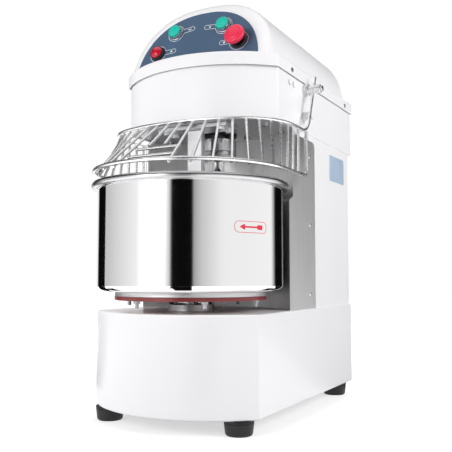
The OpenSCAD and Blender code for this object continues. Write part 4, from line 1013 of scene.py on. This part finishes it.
turned("bright_bezels", BEZEL, [START, JOG], 64, "root", zinc_steel, "zinc_steel", "button_bezels",
       closed=True)
dark_bezels = bmesh.new()
lathe(dark_bezels, BEZEL, LAMP, closed=True)
lathe(dark_bezels, STOP_BEZEL, STOP, closed=True)
finish_piece("dark_bezels", dark_bezels, "root", black_plastic, "zinc_steel")
turned("start_cap_piece", CAP, [START], 64, "start_cap", green_cap, "green_plastic", "start_button")
turned("jog_cap_piece", CAP, [JOG], 64, "jog_cap", green_cap, "green_plastic", "jog_button")
turned("lamp_lens", LENS, [LAMP], 64, "root", red_lens, "red_lamp", "power_lamp", crease=50)
turned("stop_head_piece", MUSHROOM, [STOP], 72, "stop_head", red_cap, "red_plastic",
       "stop_mushroom", crease=50)


def tag_outline(r, half, end):
    """Ring round a button that runs out into a round ended tag along +x."""
    open_angle = degrees(asin(half / r))
    points = arc(0, 0, r, open_angle, 360 - open_angle, 40)
    return points + arc(end - half, 0, half, -90, 90, 12)


def panel_marks():
    """White outlines of the buttons, each with a plain sign in its tag."""
    high, low, line, tag_half, sign_shift = 1.62, 1.4, 0.9, 5.2, 0.6
    run = [[(-2.2, -2.6), (2.6, 0), (-2.2, 2.6)]]
    step = [[(-3, -2.4), (1.2, 0), (-3, 2.4)], [(1.8, -2.4), (2.8, -2.4), (2.8, 2.4), (1.8, 2.4)]]
    live = [arc(0, 0, 2.2, 0, 330, 11)]
    halt = [[(-2.2, -2.2), (2.2, -2.2), (2.2, 2.2), (-2.2, 2.2)]]
    bm = bmesh.new()
    tags = ((START, 19, 174, 46, run), (JOG, 19, 8, 44, step),
            (LAMP, 19, 3, 43, live), (STOP, 21, 177, 44, halt))
    for spot, r, turn, end, sign in tags:
        matrix = spot @ Matrix.Rotation(radians(turn), 4, "Z")
        outer, inner = (tag_outline(r - d, tag_half - d, end - d) for d in (0, line))
        rows = ((outer, high), (inner, high), (inner, low), (outer, low))
        skin(bm, [flat_ring(bm, row, z, matrix) for row, z in rows], around=True)
        matrix = matrix @ Matrix.Translation(((r + end) / 2 + sign_shift, 0, 0))
        for shape in sign:
            solid_rows(bm, [flat_ring(bm, shape, z, matrix) for z in (low, high)])
    finish_piece("panel_marks", bm, "root", sign_white, "white_paint", crease=0)


def side_plate():
    """Bare plate on the column's side, with a groove along its edge."""
    x, centre_u, centre_z, w, h, corner, least = 170.5, 371.5, 518.5, 99.0, 59.0, 3.0, 0.6
    bm = bmesh.new()
    loops = []
    section = ((0, 0), (0.35, 0), (0.5, 0.4), (0.5, 3.0), (0.35, 3.2), (0.35, 4.2), (0.5, 4.4))
    for lift, d in section:
        points = rounded_box(w - 2 * d, h - 2 * d, max(corner - d, least), 6, 2)
        loops.append(ring(bm, [at(x + lift, centre_u + a, centre_z + b) for a, b in points]))
    solid_rows(bm, loops)
    finish_piece("side_plate", bm, "root", plate_film, "panel_film", crease=30)


panel_marks()
side_plate()


# Stage, light and camera, in metres

STAGE_R = 2.4
FLOOR = ((-8, -8, 0), (8, -8, 0), (8, 8, 0), (-8, 8, 0))
FLOOR_GREY, FLOOR_ROUGHNESS = (0.53, 0.53, 0.535), 0.9
# White added to the floor near the mixer and far from it, and where the change begins and ends
FLOOR_LIFT, LIFT_REACH = (0.6, 0.96), (0.35, 1.0)
AMBIENT, BACKGROUND = 0.29, 1.0
# Panels round the bowl for its mirror wall, as (azimuth from, to, level from, to)
PANELS = ((-172, -124, 0.6, 0.95), (-119, -89, 1.15, 1.15), (-83.2, -82.7, 0.62, 0.58),
          (-56, -55.4, 0.36, 0.4), (-47, -25, 0.62, 0.9), (-20, 50, 0.93, 0.97),
          (92, 125, 1.7, 1.3), (130, 150, 0.9, 0.9))
# Heights between which the panels fade, and their share of the level below and above
PANEL_FADE = (0.95, 1.3, 1.0, 0.08)
FLAGS = ((-81.2, -57.8), (60, 88), (155, 181))
FLAG_LEVEL, FLAG_BLACK = 0.003, (0.004, 0.004, 0.005)
FLOOR_FLAG_Z, FLOOR_FLAG_R = 0.002, (0.5, STAGE_R)
# Strips below the bowl's edge that carry the flags' reflections round its corner,
# as two azimuths near the bowl and two further out
LOW_FLAGS = ((-70, -58.3, -73, -58.2), (0.5, 14.5, 16, 33), (-132, -119, -150.5, -134.7))
LOW_FLAG_Z, LOW_FLAG_R = 0.2, (0.186, 0.25)
# Lamps as name, place, aim, size, power and, for one that mirrors see, True
LAMPS = (
    ("key_left", (-1.0, -1.95, 1.1), (0, -0.1, 0.75), (1.2, 1.2), 26),
    ("fill_right", (2.4, 0.1, 1.4), (0, 0.1, 0.9), (1.4, 1.4), 53),
    ("back_fill", (-0.5, 2.6, 0.8), (0, 0.3, 0.5), (1.2, 1.0), 32),
    ("fill_left", (-2.4, 0.6, 1.0), (0, 0.15, 0.5), (1.2, 1.2), 24),
    ("front_low", (-0.4, -2.15, 0.72), (0, 0, 0.8), (0.9, 0.6), 9, True),
)
CAMERA_AT, CAMERA_LENS, CAMERA_SENSOR = (0.6859, -1.2822, 0.2754), 54.35, 36.0
CAMERA_TURN, CAMERA_RISE = radians(28.12), radians(4.12)


def stage_plane(name, corners, colour):
    mesh = bpy.data.meshes.new(name)
    mesh.from_pydata(corners, [], [(0, 1, 2, 3)])
    mesh.materials.append(look(name, colour, FLOOR_ROUGHNESS, specular=0.0))
    obj = new_object(name, mesh)
    return obj


def background_rays(tree):
    """1 for the rays that see the white background: from the camera, off mirrors, through glass."""
    rays = tree.nodes.new("ShaderNodeLightPath").outputs
    seen = combine(tree, "MAXIMUM", rays["Is Camera Ray"], rays["Is Glossy Ray"])
    return combine(tree, "MAXIMUM", seen, rays["Is Transmission Ray"])


def lift_for_camera(material):
    """Adds white that only those rays see, less of it near the object, so that its shadow stays."""
    tree = material.node_tree
    spot = tree.nodes.new("ShaderNodeTexCoord").outputs["Object"]
    reach = add_node(tree, "ShaderNodeVectorMath", {0: spot}, operation="LENGTH").outputs["Value"]
    amount = map_range(tree, reach, *LIFT_REACH, *FLOOR_LIFT, interpolation_type="SMOOTHSTEP")
    power = combine(tree, "MULTIPLY", background_rays(tree), amount)
    glow = add_node(tree, "ShaderNodeEmission", {"Strength": power})
    both = add_node(tree, "ShaderNodeAddShader", {
        0: tree.nodes["Principled BSDF"].outputs[0], 1: glow.outputs[0]})
    feed(tree, tree.nodes["Material Output"], {"Surface": both.outputs[0]})


def mirrors_only(obj):
    obj.visible_camera = obj.visible_diffuse = obj.visible_shadow = obj.visible_transmission = False


def studio_panels():
    """Round wall of glowing panels with black flags between them, which only mirrors see."""
    low, high, steps = -0.1, 3.4, 120
    rim = [(x, y + BOWL_Y * MM) for x, y in circle(STAGE_R, steps)]
    bm = bmesh.new()
    skin(bm, [flat_ring(bm, rim, z, Matrix()) for z in (low, high)])
    mesh = mesh_of("studio_panels", bm)
    wall = new_object("studio_panels", mesh)
    material = bpy.data.materials.new("studio_panels")
    material.use_nodes = True
    tree = material.node_tree
    tree.nodes.remove(tree.nodes["Principled BSDF"])
    centre = add_node(tree, "ShaderNodeMapping", {
        "Location": (0, -BOWL_Y * MM, 0),
        "Vector": tree.nodes.new("ShaderNodeTexCoord").outputs["Object"]})
    split = add_node(tree, "ShaderNodeSeparateXYZ", {"Vector": centre.outputs["Vector"]}).outputs
    angle = combine(tree, "ARCTAN2", split["Y"], split["X"])
    ramp = add_node(tree, "ShaderNodeValToRGB", {"Fac": map_range(tree, angle, -pi, pi, 0.0, 1.0)})
    fade = map_range(tree, split["Z"], *PANEL_FADE)
    power = combine(tree, "MULTIPLY", ramp.outputs["Color"], fade)
    glow = add_node(tree, "ShaderNodeEmission", {"Strength": power})
    feed(tree, tree.nodes["Material Output"], {"Surface": glow.outputs[0]})
    stops = [stop for start, end, one, two in PANELS for stop in ((start, one), (end, two))]
    stops += [(edge, FLAG_LEVEL) for flag in FLAGS for edge in flag]
    stops = sorted((min(1.0, (a + 180) / 360), level) for a, level in stops)
    elements = ramp.color_ramp.elements
    elements.remove(elements[1])
    for k, (spot, level) in enumerate(stops):
        stop = elements.new(spot) if k else elements[0]
        stop.position = spot
        stop.color = (level, level, level, 1)
    mesh.materials.append(material)
    mirrors_only(wall)


def flag_strips():
    """Dark strips in line with the flags, on the floor and close to the bowl, for mirrors only."""
    for name, z, near, far, flags in (
            ("floor_flag", FLOOR_FLAG_Z, *FLOOR_FLAG_R, [(*flag, *flag) for flag in FLAGS]),
            ("low_flag", LOW_FLAG_Z, *LOW_FLAG_R, LOW_FLAGS)):
        for k, (one, two, three, four) in enumerate(flags):
            corners = ((near, one), (far, three), (far, four), (near, two))
            spots = [(r * cos(radians(a)), r * sin(radians(a)) + BOWL_Y * MM, z) for r, a in corners]
            mirrors_only(stage_plane(f"{name}_{k}", spots, FLAG_BLACK))


def softbox(name, spot, aim, size, power, mirrored=False):
    light = bpy.data.lights.new(name, "AREA")
    light.shape = "RECTANGLE"
    light.size, light.size_y = size
    light.energy = power
    obj = new_object(name, light)
    obj.location = spot
    obj.rotation_euler = (Vector(aim) - Vector(spot)).to_track_quat("-Z", "Y").to_euler()
    obj.visible_camera = False
    obj.visible_glossy = mirrored


lift_for_camera(stage_plane("floor", FLOOR, FLOOR_GREY).data.materials[0])
studio_panels()
flag_strips()
for lamp in LAMPS:
    softbox(*lamp)

world = bpy.data.worlds.new("studio")
SCENE.world = world
world.use_nodes = True
sky = world.node_tree
sky_level = map_range(sky, background_rays(sky), 0.0, 1.0, AMBIENT, BACKGROUND)
feed(sky, sky.nodes["Background"], {"Color": (1, 1, 1, 1), "Strength": sky_level})

camera = bpy.data.cameras.new("camera")
camera.lens = CAMERA_LENS
camera.sensor_width = CAMERA_SENSOR
camera_object = new_object("camera", camera)
camera_object.location = CAMERA_AT
level = cos(CAMERA_RISE)
forward = Vector((-sin(CAMERA_TURN) * level, cos(CAMERA_TURN) * level, sin(CAMERA_RISE)))
camera_object.rotation_euler = forward.to_track_quat("-Z", "Y").to_euler()
SCENE.camera = camera_object
SCENE.view_settings.view_transform = "Standard"
